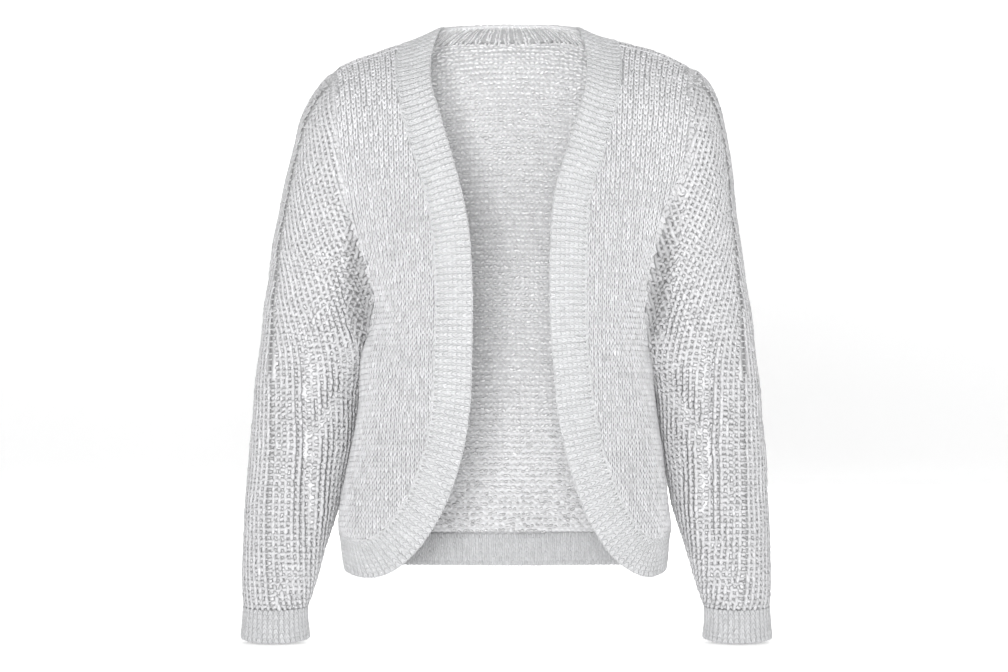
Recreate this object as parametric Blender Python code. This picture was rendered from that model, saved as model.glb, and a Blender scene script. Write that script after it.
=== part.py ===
"""Cropped open-front knitted cardigan, filled out with no wearer.

Metres, +Z up, the front faces -Y and the wearer's left is +X.  The origin lies on the shoulder ridge, in
the middle of the neck.  All tables are in millimetres.
"""
import math

import bmesh
import bpy
import numpy as np

MM = 0.001

# ---------------------------------------------------------------- driving sizes, millimetres
WALL = 2.5                # thickness of the knitted wall
SEAM_GAP = 0.3            # distance between two pieces at a seam
BAND_WALL = 2.2           # wall of the ribbed pieces under their ribs
BAND_INSET = 0.9          # the ribbed pieces' grooves lie this far inside the knit's face
RIB_HEIGHT = 1.2          # height of a rib over its groove
HEM_Z = -532.0            # height of the lowest edge
RIDGE_DROP = 65.0         # how far down the shoulder rounds over
SIDE_SHIFT = -12.0        # the side seam lies this far in front of the shoulder seam
SECTION_FULLNESS = 0.35   # 0 is an ellipse, more is a squarer body section
FRONT_ARMHOLE_REACH = 0.78
BACK_ARMHOLE_REACH = 0.62

FRONT_BAND_RIBS = 106
NECK_BAND_RIBS = 30
HEM_RIBS = 74
CUFF_RIBS = 36

ARMHOLE_STEPS = 18        # steps down each face of an armhole, shared by panel and sleeve
SIDE_STEPS = 11           # steps down a side seam
FRONT_COLUMNS = 12
SHOULDER_COLUMNS = 4      # back panel, along a shoulder seam
NECK_COLUMNS = 9          # back panel, along half of the neck
PANEL_EASE = 0.3          # the panels stay this much further off the ribbed bands' curved seams
CORNER_K = 0.74           # place on the front band's seam where the panel's lower corner turns

RIGHT = 0                 # the wearer's right, -X
LEFT = 1                  # the wearer's left, +X
SIDE_SIGN = (-1.0, 1.0)
SIDE_NAME = ("right", "left")
FRONT = -1.0
BACK = 1.0

# Shoulder ridge: distance from the middle, height on the wearer's right and left
RIDGE_COLUMNS = ("across", "right", "left")
RIDGE = (
    (0.0, 40.0, 40.0),
    (35.0, 37.5, 38.5),
    (52.0, 34.5, 36.5),
    (66.0, 30.0, 33.0),
    (80.0, 23.0, 26.8),
    (92.0, 17.8, 21.2),
    (104.0, 13.6, 17.2),
    (120.0, 8.8, 13.6),
    (140.0, 1.8, 8.6),
    (160.0, -5.0, 2.2),
    (176.0, -13.2, -5.5),
    (190.0, -20.0, -12.5),
    (260.0, -60.0, -50.0),
)

# Side of the body and fold of the armhole: height, distance from the middle
OUTLINE_COLUMNS = ("height", "right", "left")
OUTLINE = (
    (-540.0, 165.0, 162.0),
    (-526.0, 166.8, 163.5),
    (-514.0, 168.8, 165.0),
    (-497.0, 170.8, 166.3),
    (-484.0, 173.0, 168.0),
    (-466.0, 172.0, 166.0),
    (-440.0, 167.5, 163.5),
    (-413.0, 161.5, 159.7),
    (-377.0, 154.0, 154.5),
    (-335.0, 150.0, 148.5),
    (-303.0, 145.0, 143.5),
    (-282.0, 139.0, 142.0),
    (-257.0, 136.0, 142.0),
    (-226.0, 141.5, 145.5),
    (-195.0, 150.5, 151.0),
    (-163.0, 159.5, 161.0),
    (-132.0, 166.0, 174.0),
    (-105.0, 169.5, 182.0),
    (-80.0, 172.0, 185.0),
    (-50.0, 173.5, 185.5),
    (-10.0, 174.0, 184.0),
    (40.0, 174.0, 184.0),
)
TIP = (174.0, 184.0)              # shoulder end of the armhole, from the middle
UNDERARM_Z = (-295.0, -310.0)     # lowest point of the armhole

# Depth of the body in front of and behind the shoulder line, by height
DEPTH_COLUMNS = ("height", "front", "back")
DEPTH = (
    (-540.0, 91.0, 105.0),
    (-460.0, 92.0, 101.0),
    (-400.0, 93.0, 100.0),
    (-330.0, 97.0, 103.0),
    (-260.0, 101.0, 111.0),
    (-200.0, 102.0, 117.0),
    (-150.0, 99.0, 119.0),
    (-100.0, 90.0, 117.0),
    (-60.0, 79.0, 111.0),
    (-28.0, 66.0, 105.0),
    (0.0, 52.0, 101.0),
    (30.0, 40.0, 100.0),
    (60.0, 34.0, 100.0),
)

# Back neck, half of it seen from above: reach to the side, reach to the back
NECK_SEAM_BACK = 70.0
NECK_EDGE_BACK = 34.0

# Front bands, one row for a rib line: free edge and seam in the front view
BAND_COLUMNS = ("edge_across", "edge_height", "seam_across", "seam_height")
BAND_RIGHT = (
    (66.0, 30.0, 105.0, 13.5),
    (74.5, 13.0, 112.0, 0.0),
    (78.5, -8.0, 112.0, -17.0),
    (77.0, -34.0, 108.8, -44.0),
    (68.5, -64.0, 102.0, -76.0),
    (56.0, -107.0, 89.0, -118.0),
    (45.5, -147.0, 79.0, -156.0),
    (39.0, -182.0, 74.0, -187.0),
    (36.0, -225.0, 72.0, -227.0),
    (35.5, -282.0, 72.0, -282.0),
    (36.5, -333.0, 73.0, -330.0),
    (39.5, -373.0, 76.0, -367.0),
    (46.0, -408.0, 81.0, -397.5),
    (55.0, -437.5, 88.5, -423.0),
    (66.5, -465.0, 98.5, -447.0),
    (79.0, -486.5, 109.5, -466.0),
    (93.5, -505.0, 121.0, -481.5),
    (110.0, -520.0, 133.0, -492.0),
    (126.0, -528.5, 144.0, -497.0),
    (142.5, -531.5, 154.0, -497.5),
    (157.5, -530.0, 163.5, -494.5),
    (166.8, -526.0, 171.5, -491.0),
)
BAND_LEFT = (
    (72.5, 30.5, 109.5, 16.0),
    (79.5, 13.0, 115.0, 4.0),
    (82.0, -8.0, 115.5, -16.0),
    (80.5, -31.0, 112.7, -41.0),
    (73.0, -61.0, 106.0, -72.0),
    (65.0, -88.0, 98.0, -99.0),
    (56.5, -114.0, 89.5, -124.0),
    (49.0, -142.0, 83.0, -148.0),
    (45.0, -176.0, 80.0, -179.5),
    (43.5, -222.0, 79.0, -223.0),
    (44.0, -270.0, 79.0, -269.0),
    (47.5, -323.0, 82.5, -319.0),
    (53.5, -377.0, 89.0, -371.0),
    (61.5, -412.0, 96.0, -402.0),
    (70.5, -441.0, 104.0, -427.5),
    (81.0, -469.0, 113.0, -450.0),
    (93.0, -490.5, 122.5, -468.0),
    (107.0, -509.5, 132.0, -483.5),
    (120.5, -521.0, 141.0, -492.5),
    (133.5, -528.5, 148.5, -495.5),
    (146.0, -531.0, 155.5, -495.0),
    (157.5, -529.0, 162.0, -491.5),
    (164.5, -526.0, 167.5, -488.0),
)
BANDS = (BAND_RIGHT, BAND_LEFT)
# Back hem in the middle of the back: height of its seam, height of its lower edge
HEM_MIDDLE = (-497.5, -531.0)

# Sleeves, one row for a ring: outer point, inner point (front view, distance from the middle and height),
# half depth in front and behind, how far back its centre lies, how far its front dips, roundness
SLEEVE_COLUMNS_OF_TABLE = (
    "outer", "outer_z", "inner", "inner_z", "front", "back", "centre_y", "dip", "round",
)
SLEEVE_RIGHT = (
    (174.0, -12.4, 143.0, -295.0, 66.0, 69.0, 0.0, 0.0, 0.00),
    (186.0, -21.6, 144.8, -296.2, 64.0, 67.0, -3.0, 0.0, 0.12),
    (195.0, -32.0, 146.6, -297.8, 62.0, 65.5, 1.0, 0.0, 0.25),
    (203.5, -45.0, 148.0, -300.0, 60.5, 64.0, 4.0, 0.0, 0.36),
    (213.0, -66.0, 149.0, -303.0, 58.5, 62.0, 6.5, 0.0, 0.48),
    (222.5, -100.0, 149.6, -307.0, 56.5, 60.0, 9.0, 0.0, 0.60),
    (233.8, -150.0, 149.8, -312.5, 54.5, 58.0, 11.5, 0.0, 0.72),
    (243.5, -202.0, 149.7, -320.0, 53.0, 56.0, 14.0, 0.0, 0.84),
    (250.5, -251.0, 149.6, -330.5, 52.0, 53.0, 15.5, 0.0, 0.93),
    (255.0, -289.0, 150.6, -344.0, 51.0, 51.0, 15.0, 0.0, 1.0),
    (258.5, -321.0, 151.8, -361.0, 50.0, 49.5, 14.5, 0.0, 1.0),
    (262.0, -350.0, 154.2, -380.0, 49.0, 48.5, 14.0, 0.0, 1.0),
    (264.7, -383.0, 158.9, -405.0, 48.0, 47.5, 13.5, 0.0, 1.0),
    (267.7, -418.0, 165.2, -432.0, 46.5, 46.0, 12.5, 0.0, 1.0),
    (270.5, -449.0, 171.0, -458.0, 44.5, 45.0, 13.0, 0.0, 1.0),
    (272.3, -480.0, 179.3, -485.0, 42.0, 42.5, 9.0, 0.0, 1.0),
    (273.2, -511.0, 188.2, -513.0, 39.0, 39.5, 5.5, 0.5, 1.0),
    (273.2, -540.0, 196.4, -540.0, 35.5, 36.0, 2.5, 1.0, 1.0),
    (272.6, -557.5, 201.7, -557.5, 33.0, 33.5, 0.5, 1.5, 1.0),
    (271.5, -566.5, 205.5, -566.5, 30.5, 31.0, 0.0, 2.0, 1.0),
)
SLEEVE_LEFT = (
    (184.0, -9.5, 145.0, -310.0, 68.0, 71.0, 0.0, 0.0, 0.00),
    (195.0, -14.2, 146.4, -311.3, 66.0, 69.0, -3.0, 0.0, 0.12),
    (208.0, -26.8, 147.8, -313.0, 64.0, 67.0, 1.0, 0.0, 0.25),
    (217.5, -46.0, 148.8, -315.3, 62.0, 65.0, 4.0, 0.0, 0.36),
    (225.3, -72.0, 149.4, -318.2, 60.0, 63.0, 6.5, 0.0, 0.48),
    (231.0, -108.0, 149.7, -322.2, 57.5, 60.5, 9.0, 0.0, 0.60),
    (237.2, -156.0, 149.8, -327.5, 55.0, 58.0, 11.5, 0.0, 0.72),
    (243.8, -202.0, 149.7, -334.5, 53.0, 55.0, 13.5, 0.0, 0.84),
    (249.5, -245.0, 150.0, -343.0, 52.0, 52.0, 13.5, 0.0, 0.93),
    (255.2, -284.0, 151.2, -355.0, 51.0, 50.0, 13.0, 0.0, 1.0),
    (259.4, -321.0, 152.8, -368.0, 50.0, 49.0, 13.0, 0.0, 1.0),
    (263.0, -352.0, 155.3, -385.0, 49.0, 48.0, 13.0, 0.0, 1.0),
    (266.0, -387.0, 158.9, -408.0, 48.0, 47.0, 12.5, 0.0, 1.0),
    (268.6, -421.0, 164.0, -433.0, 46.5, 46.0, 11.5, 0.0, 1.0),
    (270.3, -453.0, 169.6, -461.0, 44.5, 45.0, 12.0, 0.0, 1.0),
    (271.4, -485.0, 178.2, -489.0, 42.0, 42.5, 8.5, 0.0, 1.0),
    (272.2, -514.0, 186.2, -516.0, 39.0, 39.5, 5.5, 0.5, 1.0),
    (272.4, -541.0, 193.8, -541.0, 35.5, 36.0, 2.5, 1.0, 1.0),
    (271.7, -558.0, 199.2, -558.0, 33.0, 33.5, 0.5, 1.5, 1.0),
    (270.3, -566.5, 203.3, -566.5, 30.5, 31.0, 0.0, 2.0, 1.0),
)
# Cuffs: the same columns, from the sleeve's seam to the open end
CUFF_RIGHT = (
    (271.5, -566.5, 205.5, -566.5, 30.5, 31.0, 0.0, 2.0, 1.0),
    (272.5, -582.0, 205.0, -582.0, 30.5, 31.0, 0.0, 3.0, 1.0),
    (274.0, -598.0, 203.0, -598.0, 31.5, 32.0, 0.0, 4.0, 1.0),
)
CUFF_LEFT = (
    (270.3, -566.5, 203.3, -566.5, 30.5, 31.0, 0.0, 2.0, 1.0),
    (271.3, -582.0, 203.3, -582.0, 30.5, 31.0, 0.0, 3.0, 1.0),
    (272.8, -598.0, 201.3, -598.0, 31.5, 32.0, 0.0, 4.0, 1.0),
)

# Folds of a sleeve, as troughs seen from the front or the back: which face (-1 front, 1 back), upper end
# and lower end (distance from the middle, height), half width at both ends, depth
FOLD_COLUMNS = ("face", "top", "top_z", "foot", "foot_z", "top_width", "foot_width", "depth")
FOLDS_RIGHT = (
    (-1.0, 164.0, -195.0, 152.0, -270.0, 9.0, 12.0, 13.0),
    (1.0, 164.0, -195.0, 152.0, -270.0, 9.0, 12.0, 9.0),
    (-1.0, 206.0, -290.0, 203.0, -470.0, 9.0, 9.0, 3.0),
    (1.0, 196.0, -300.0, 206.0, -470.0, 10.0, 9.0, 3.0),
)
FOLDS_LEFT = (
    (-1.0, 168.0, -195.0, 153.0, -282.0, 9.0, 12.0, 13.0),
    (1.0, 168.0, -195.0, 153.0, -282.0, 9.0, 12.0, 9.0),
    (-1.0, 200.0, -330.0, 212.0, -500.0, 9.0, 9.0, 3.0),
    (1.0, 206.0, -300.0, 210.0, -480.0, 10.0, 9.0, 3.0),
)

SLEEVES = (SLEEVE_RIGHT, SLEEVE_LEFT)
CUFFS = (CUFF_RIGHT, CUFF_LEFT)
FOLDS = (FOLDS_RIGHT, FOLDS_LEFT)

# Material table: colour, roughness
PANEL_COLOUR = (0.70, 0.70, 0.72)
SLEEVE_COLOUR = (0.66, 0.66, 0.68)
BAND_COLOUR = (0.75, 0.755, 0.765)
RIB_COLOUR = (0.62, 0.625, 0.635)
CLOTH_ROUGHNESS = 0.92


# ---------------------------------------------------------------- tables
def smooth(xs, ys, t):
    """Cubic through the rows (xs ascending), flat tangents never overshoot between level rows."""
    xs = np.asarray(xs, dtype=float)
    ys = np.asarray(ys, dtype=float)
    t = np.clip(np.asarray(t, dtype=float), xs[0], xs[-1])
    step = np.diff(xs)
    slope = np.diff(ys) / step
    tangent = np.empty_like(ys)
    tangent[1:-1] = (slope[:-1] * step[1:] + slope[1:] * step[:-1]) / (step[:-1] + step[1:])
    tangent[0] = slope[0]
    tangent[-1] = slope[-1]
    i = np.clip(np.searchsorted(xs, t, side="right") - 1, 0, len(xs) - 2)
    h = step[i]
    u = (t - xs[i]) / h
    return (
        ys[i] * (1 + 2 * u) * (1 - u) ** 2
        + ys[i + 1] * u * u * (3 - 2 * u)
        + tangent[i] * h * u * (1 - u) ** 2
        - tangent[i + 1] * h * u * u * (1 - u)
    )


def column(table, names, name):
    return np.array([row[names.index(name)] for row in table])


def look_up(table, names, key, value, at):
    return smooth(column(table, names, key), column(table, names, value), at)


# ---------------------------------------------------------------- the body's surface
def ridge(side, across):
    return look_up(RIDGE, RIDGE_COLUMNS, "across", SIDE_NAME[side], np.abs(across))


def side_height(side, v):
    top = float(ridge(side, TIP[side]))
    return top * (1 - v) + HEM_Z * v


def underarm_v(side):
    top = float(ridge(side, TIP[side]))
    return (top - UNDERARM_Z[side]) / (top - HEM_Z)


ROUND_V = RIDGE_DROP / -HEM_Z


def rounding(v):
    """How much of the full depth is reached, v down from the shoulder ridge."""
    r = np.clip(1 - v / ROUND_V, 0.0, 1.0)
    return np.sqrt(1 - r * r)


def row_of(turn):
    """Row v for an even turn over the shoulder: 0 on the ridge, 1 where it is fully round."""
    turn = np.asarray(turn, dtype=float)
    over = np.maximum(turn - 1.0, 0.0)
    return ROUND_V * (1 - np.cos(np.minimum(turn, 1.0) * math.pi / 2) + over * math.pi / 2)


def turn_of(v):
    v = np.asarray(v, dtype=float)
    under = np.arccos(np.clip(1 - v / ROUND_V, 0.0, 1.0)) / (math.pi / 2)
    return np.where(v < ROUND_V, under, 1.0 + (v / ROUND_V - 1.0) / (math.pi / 2))


def armhole_reach(side, face, v):
    """Depth of the armhole's edge as a share of the body's depth in that row."""
    r = np.clip(v / underarm_v(side), 0.0, 1.0)
    if face < 0:
        return FRONT_ARMHOLE_REACH * np.maximum(1 - r ** 2.0, 0.0) ** 0.58
    return BACK_ARMHOLE_REACH * np.maximum(1 - r ** 3.0, 0.0) ** 0.58


def side_angle(side, face, v):
    """Angle in the body's section where the panel ends: 0 at the side seam."""
    k = SECTION_FULLNESS
    reach = armhole_reach(side, face, v)
    q = (-(1 - k) + np.sqrt((1 - k) ** 2 + 4 * k * (1 - reach ** 2))) / (2 * k)
    return np.arccos(np.sqrt(np.clip(q, 0.0, 1.0)))


def body_width(side, face, v):
    edge = look_up(OUTLINE, OUTLINE_COLUMNS, "height", SIDE_NAME[side], side_height(side, v))
    return edge / np.cos(side_angle(side, face, v))


def body_point(side, face, a, turn):
    """a: 0 at the side or armhole, 1 in the middle.  turn: down from the shoulder ridge."""
    a = np.asarray(a, dtype=float)
    turn = np.asarray(turn, dtype=float)
    v = row_of(turn)
    start = side_angle(side, face, v)
    angle = start + (math.pi / 2 - start) * a
    across = body_width(side, face, v) * np.cos(angle)
    z = ridge(side, across) * (1 - v) + HEM_Z * v
    name = "front" if face < 0 else "back"
    depth = look_up(DEPTH, DEPTH_COLUMNS, "height", name, z)
    full = np.sin(angle) * np.sqrt(1 + SECTION_FULLNESS * np.cos(angle) ** 2)
    ease = np.clip(v / 0.5, 0.0, 1.0)
    shift = SIDE_SHIFT * ease * ease * (3 - 2 * ease)
    y = shift + face * depth * rounding(v) * full
    return np.stack([SIDE_SIGN[side] * across, y, z], axis=-1)


def body_normal(side, face, a, turn):
    d = 1e-4
    a = np.asarray(a, dtype=float)
    turn = np.maximum(np.asarray(turn, dtype=float), 0.0)
    across = body_point(side, face, a + d, turn) - body_point(side, face, np.maximum(a - d, 0.0), turn)
    down = body_point(side, face, a, turn + d) - body_point(side, face, a, np.maximum(turn - d, 0.0))
    n = np.cross(across, down)
    n = n / np.linalg.norm(n, axis=-1, keepdims=True)
    return n * (SIDE_SIGN[side] * -face)


def body_place(side, face, across, z):
    """Place on the body's surface (a, turn) of a point seen in the front view."""
    top = ridge(side, across)
    v = (top - z) / (top - HEM_Z)
    start = side_angle(side, face, v)
    angle = np.arccos(np.clip(np.abs(across) / body_width(side, face, v), 0.0, 1.0))
    return (angle - start) / (math.pi / 2 - start), turn_of(np.maximum(v, 0.0))


# ---------------------------------------------------------------- edges of the pieces, on the body's surface
def side_edge(side, v):
    return look_up(OUTLINE, OUTLINE_COLUMNS, "height", SIDE_NAME[side], side_height(side, v))


def lead(side, table, name, way, k):
    """A band's edge or seam on the body's surface, worked out as an angle from the side and a row."""
    across = column(table, BAND_COLUMNS, name + "_across")
    z = column(table, BAND_COLUMNS, name + "_height")
    turn = body_place(side, FRONT, across, z)[1]
    turn[0] = 0.0
    angle = np.arccos(np.clip(across / side_edge(side, row_of(turn)), 0.0, 1.0))
    angle[-1] = 0.0
    if way is None:
        return body_point(side, FRONT, band_a(side, angle, turn), turn)
    angle = smooth(way, angle, k)
    turn = smooth(way, turn, k)
    return band_a(side, angle, turn), turn


def band_a(side, angle, turn):
    v = row_of(turn)
    across = side_edge(side, v) * np.cos(angle)
    start = side_angle(side, FRONT, v)
    section = np.arccos(np.clip(across / body_width(side, FRONT, v), 0.0, 1.0))
    return (section - start) / (math.pi / 2 - start)


def band_places(side, k):
    """Places (a, turn) of the free edge and of the seam; k is 0 on the shoulder, 1 at the side seam."""
    table = BANDS[side]
    k = np.asarray(k, dtype=float)
    edge = lead(side, table, "edge", None, k)
    seam = lead(side, table, "seam", None, k)
    steps = np.linalg.norm(np.diff(edge, axis=0), axis=1) * 0.65
    steps = steps + np.linalg.norm(np.diff(seam, axis=0), axis=1) * 0.35
    way = np.concatenate([[0.0], np.cumsum(steps)])
    way = way / way[-1]
    return lead(side, table, "edge", way, k) + lead(side, table, "seam", way, k)


def neck_places(k, part_of_band):
    """Places on the back of the neck band's edge (1) or seam (0); k from -1 to 1 over the shoulders."""
    k = np.asarray(k, dtype=float)
    out_side = np.where(k < 0, RIGHT, LEFT)
    swing = np.abs(k) * math.pi / 2
    places_a = np.zeros_like(k)
    places_turn = np.zeros_like(k)
    for side in (RIGHT, LEFT):
        table = BANDS[side]
        reach = table[0][BAND_COLUMNS.index("seam_across")] * (1 - part_of_band)
        reach = reach + table[0][BAND_COLUMNS.index("edge_across")] * part_of_band
        back = NECK_SEAM_BACK * (1 - part_of_band) + NECK_EDGE_BACK * part_of_band
        across = reach * np.sin(swing)
        y = back * np.cos(swing) ** 0.85
        v = np.zeros_like(across)
        for _ in range(12):
            width = body_width(side, BACK, v)
            q = np.clip(across / width, 0.0, 1.0) ** 2
            z = ridge(side, across) * (1 - v) + HEM_Z * v
            depth = look_up(DEPTH, DEPTH_COLUMNS, "height", "back", z)
            full = np.sqrt((1 - q) * (1 + SECTION_FULLNESS * q))
            share = np.clip(y / (depth * full), 0.0, 0.999)
            v = ROUND_V * (1 - np.sqrt(1 - share * share))
        angle = np.arccos(np.sqrt(q))
        start = side_angle(side, BACK, v)
        here = out_side == side
        places_a = np.where(here, (angle - start) / (math.pi / 2 - start), places_a)
        places_turn = np.where(here, turn_of(v), places_turn)
    return places_a, places_turn


def hem_turn(side, a, which):
    """Row of the back hem's seam (0) or edge (1) at a; it meets the front band at the side seam."""
    a = np.asarray(a, dtype=float)
    places = band_places(side, np.array([1.0]))
    beside = float(places[3][0]) if which == 0 else float(places[1][0])
    top = float(ridge(side, 0.0))
    behind = float(turn_of((top - HEM_MIDDLE[which]) / (top - HEM_Z)))
    return beside + (behind - beside) * np.sin(a * math.pi / 2) ** 2


# ---------------------------------------------------------------- sleeves
def sleeve_value(table, name, t):
    return smooth(np.arange(len(table)), column(table, SLEEVE_COLUMNS_OF_TABLE, name), t)


def armhole_point(side, phi):
    """Edge of the armhole, phi 0 at the shoulder, through the front to pi under the arm and back."""
    phi = np.asarray(phi, dtype=float)
    v = underarm_v(side) * (1 - np.cos(phi)) / 2
    turn = turn_of(v)
    zero = np.zeros_like(turn)
    front = body_point(side, FRONT, zero, turn)
    back = body_point(side, BACK, zero, turn)
    return np.where((np.sin(phi) >= 0)[..., None], front, back)


def fold_depth(side, face, across, z):
    """How deep the sleeve's folds are at a point seen from the front or the back."""
    total = np.zeros_like(across)
    for row in FOLDS[side]:
        values = dict(zip(FOLD_COLUMNS, row))
        if values["face"] != face:
            continue
        dx = values["foot"] - values["top"]
        dz = values["foot_z"] - values["top_z"]
        length = math.hypot(dx, dz)
        along = ((across - values["top"]) * dx + (z - values["top_z"]) * dz) / length ** 2
        off = ((across - values["top"]) * dz - (z - values["top_z"]) * dx) / length
        inside = np.clip(along, 0.0, 1.0)
        width = values["top_width"] * (1 - inside) + values["foot_width"] * inside
        past = (along - inside) * length
        ease = np.sin(np.clip(inside * 1.15, 0.0, 1.0) * math.pi / 2) ** 2
        bump = np.exp(-(off ** 2 + past ** 2) / (2 * width ** 2))
        total = total + values["depth"] * bump * ease
    return total


def tube_point(side, table, t, phi, folds):
    """Point of a sleeve or cuff: t counts the table's rows, phi goes round from the outside by the front."""
    t = np.asarray(t, dtype=float)
    phi = np.asarray(phi, dtype=float)
    value = {name: sleeve_value(table, name, t) for name in SLEEVE_COLUMNS_OF_TABLE}
    share = (1 + np.cos(phi)) / 2
    across = value["inner"] + (value["outer"] - value["inner"]) * share
    z = value["inner_z"] + (value["outer_z"] - value["inner_z"]) * share
    swing = np.sin(phi)
    half = np.where(swing >= 0, value["front"], value["back"])
    y = value["centre_y"] - half * swing
    z = z - value["dip"] * swing
    hole = armhole_point(side, phi)
    first = {name: table[0][SLEEVE_COLUMNS_OF_TABLE.index(name)] for name in SLEEVE_COLUMNS_OF_TABLE}
    line = first["inner"] + (first["outer"] - first["inner"]) * share
    line_z = first["inner_z"] + (first["outer_z"] - first["inner_z"]) * share
    left_over = 1 - value["round"]
    across = across + left_over * (np.abs(hole[..., 0]) - line)
    z = z + left_over * (hole[..., 2] - line_z)
    y = value["round"] * y + left_over * hole[..., 1]
    if folds:
        fade = np.clip(t / 3.0, 0.0, 1.0)
        facing = 1 - (1 - np.abs(swing)) ** 2
        deep = np.where(
            swing >= 0, fold_depth(side, FRONT, across, z), fold_depth(side, BACK, across, z)
        )
        y = y + np.sign(swing) * facing * fade * deep
    return np.stack([SIDE_SIGN[side] * across, y, z], axis=-1)


def tube_normal(side, table, t, phi, folds):
    d = 1e-3
    last = len(table) - 1
    low = np.clip(np.asarray(t) - d, 0.0, last)
    high = np.clip(np.asarray(t) + d, 0.0, last)
    along = tube_point(side, table, high, phi, folds) - tube_point(side, table, low, phi, folds)
    around = tube_point(side, table, t, phi + d, folds) - tube_point(side, table, t, phi - d, folds)
    n = np.cross(along, around)
    n = n / np.linalg.norm(n, axis=-1, keepdims=True)
    return n * -SIDE_SIGN[side]


def armhole_normal(side, phi):
    """Shared by the panel and the sleeve, so that both walls end on one face."""
    phi = np.asarray(phi, dtype=float)
    turn = turn_of(underarm_v(side) * (1 - np.cos(phi)) / 2)
    zero = np.zeros_like(turn)
    front = body_normal(side, FRONT, zero, turn)
    back = body_normal(side, BACK, zero, turn)
    body = np.where((np.sin(phi) >= 0)[..., None], front, back)
    sleeve = tube_normal(side, SLEEVES[side], np.full_like(phi, 0.25), phi, False)
    n = body + sleeve
    return n / np.linalg.norm(n, axis=-1, keepdims=True)


# ---------------------------------------------------------------- walls
def seam_shift(edge, normal, inside, closed, amount):
    """Moves an edge back from the seam, in the wall's own surface."""
    if closed:
        tangent = np.roll(edge, -1, axis=0) - np.roll(edge, 1, axis=0)
    else:
        tangent = np.gradient(edge, axis=0)
    move = np.cross(tangent, normal)
    move = move / np.linalg.norm(move, axis=-1, keepdims=True)
    sense = np.sign(np.sum(move * (inside - edge), axis=-1, keepdims=True))
    return move * sense * amount


def drawn_in(points, normals, closed, top=0.0, foot=0.0, start=0.0, end=0.0):
    """Points of a sheet (rows, columns) with the named edges moved back by these amounts."""
    moved = points.copy()
    if top:
        moved[0] += seam_shift(points[0], normals[0], points[1], closed, top)
    if foot:
        moved[-1] += seam_shift(points[-1], normals[-1], points[-2], closed, foot)
    if start:
        moved[:, 0] += seam_shift(points[:, 0], normals[:, 0], points[:, 1], False, start)
    if end:
        moved[:, -1] += seam_shift(points[:, -1], normals[:, -1], points[:, -2], False, end)
    return moved


def new_object(name, points, faces, material, collection):
    mesh = bpy.data.meshes.new(name)
    mesh.from_pydata([tuple(float(c) * MM for c in p) for p in points], [], faces)
    mesh.update()
    work = bmesh.new()
    work.from_mesh(mesh)
    bmesh.ops.recalc_face_normals(work, faces=work.faces)
    work.to_mesh(mesh)
    work.free()
    for face in mesh.polygons:
        face.use_smooth = True
    mesh.materials.append(material)
    made = bpy.data.objects.new(name, mesh)
    collection.objects.link(made)
    return made


def plain_wall(name, outer, inner, closed, material, collection):
    """Solid between an outer and an inner sheet of the same rows and columns."""
    rows, columns = outer.shape[:2]
    points = np.concatenate([outer.reshape(-1, 3), inner.reshape(-1, 3)])
    lower = rows * columns
    faces = []
    across = columns if closed else columns - 1
    for i in range(rows - 1):
        for j in range(across):
            k = (j + 1) % columns
            a, b = i * columns + j, i * columns + k
            c, d = (i + 1) * columns + k, (i + 1) * columns + j
            faces.append((a, b, c, d))
            faces.append((lower + d, lower + c, lower + b, lower + a))
    for j in range(across):
        k = (j + 1) % columns
        faces.append((j, lower + j, lower + k, k))
        last = (rows - 1) * columns
        faces.append((last + j, last + k, lower + last + k, lower + last + j))
    if not closed:
        for i in range(rows - 1):
            a, d = i * columns, (i + 1) * columns
            faces.append((a, d, lower + d, lower + a))
            a, d = a + columns - 1, d + columns - 1
            faces.append((a, lower + a, lower + d, d))
    return new_object(name, points, faces, material, collection)


def ribbed_wall(name, outer, inner, closed, material, collection):
    """Solid whose outer sheet has two steps for a rib and whose inner sheet has one."""
    rows, columns = outer.shape[:2]
    inner_columns = inner.shape[1]
    points = np.concatenate([outer.reshape(-1, 3), inner.reshape(-1, 3)])
    lower = rows * columns
    ribs = columns // 2 if closed else (columns - 1) // 2
    faces = []

    def out(i, j):
        return i * columns + j % columns

    def within(i, j):
        return lower + i * inner_columns + j % inner_columns

    for j in range(ribs):
        for i in range(rows - 1):
            for step in (2 * j, 2 * j + 1):
                faces.append((out(i, step), out(i, step + 1), out(i + 1, step + 1), out(i + 1, step)))
            faces.append((within(i + 1, j), within(i + 1, j + 1), within(i, j + 1), within(i, j)))
        for i in (0, rows - 1):
            rim = (
                (within(i, j), out(i, 2 * j + 1), out(i, 2 * j)),
                (within(i, j), within(i, j + 1), out(i, 2 * j + 1)),
                (within(i, j + 1), out(i, 2 * j + 2), out(i, 2 * j + 1)),
            )
            faces.extend(rim if i == 0 else tuple(face[::-1] for face in rim))
    if not closed:
        for i in range(rows - 1):
            faces.append((out(i, 0), out(i + 1, 0), within(i + 1, 0), within(i, 0)))
            faces.append((
                out(i, columns - 1), within(i, inner_columns - 1),
                within(i + 1, inner_columns - 1), out(i + 1, columns - 1),
            ))
    return new_object(name, points, faces, material, collection)


def coons(left, right, top, foot):
    """Grid of (a, turn) places inside four edges; left and right run down, top and foot run across."""
    rows, columns = len(left), len(top)
    r = np.linspace(0.0, 1.0, rows)[:, None, None]
    s = np.linspace(0.0, 1.0, columns)[None, :, None]
    sides = (1 - s) * left[:, None] + s * right[:, None]
    ends = (1 - r) * top[None] + r * foot[None]
    corners = (
        (1 - s) * (1 - r) * top[0] + s * (1 - r) * top[-1]
        + (1 - s) * r * foot[0] + s * r * foot[-1]
    )
    return sides + ends - corners


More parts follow.
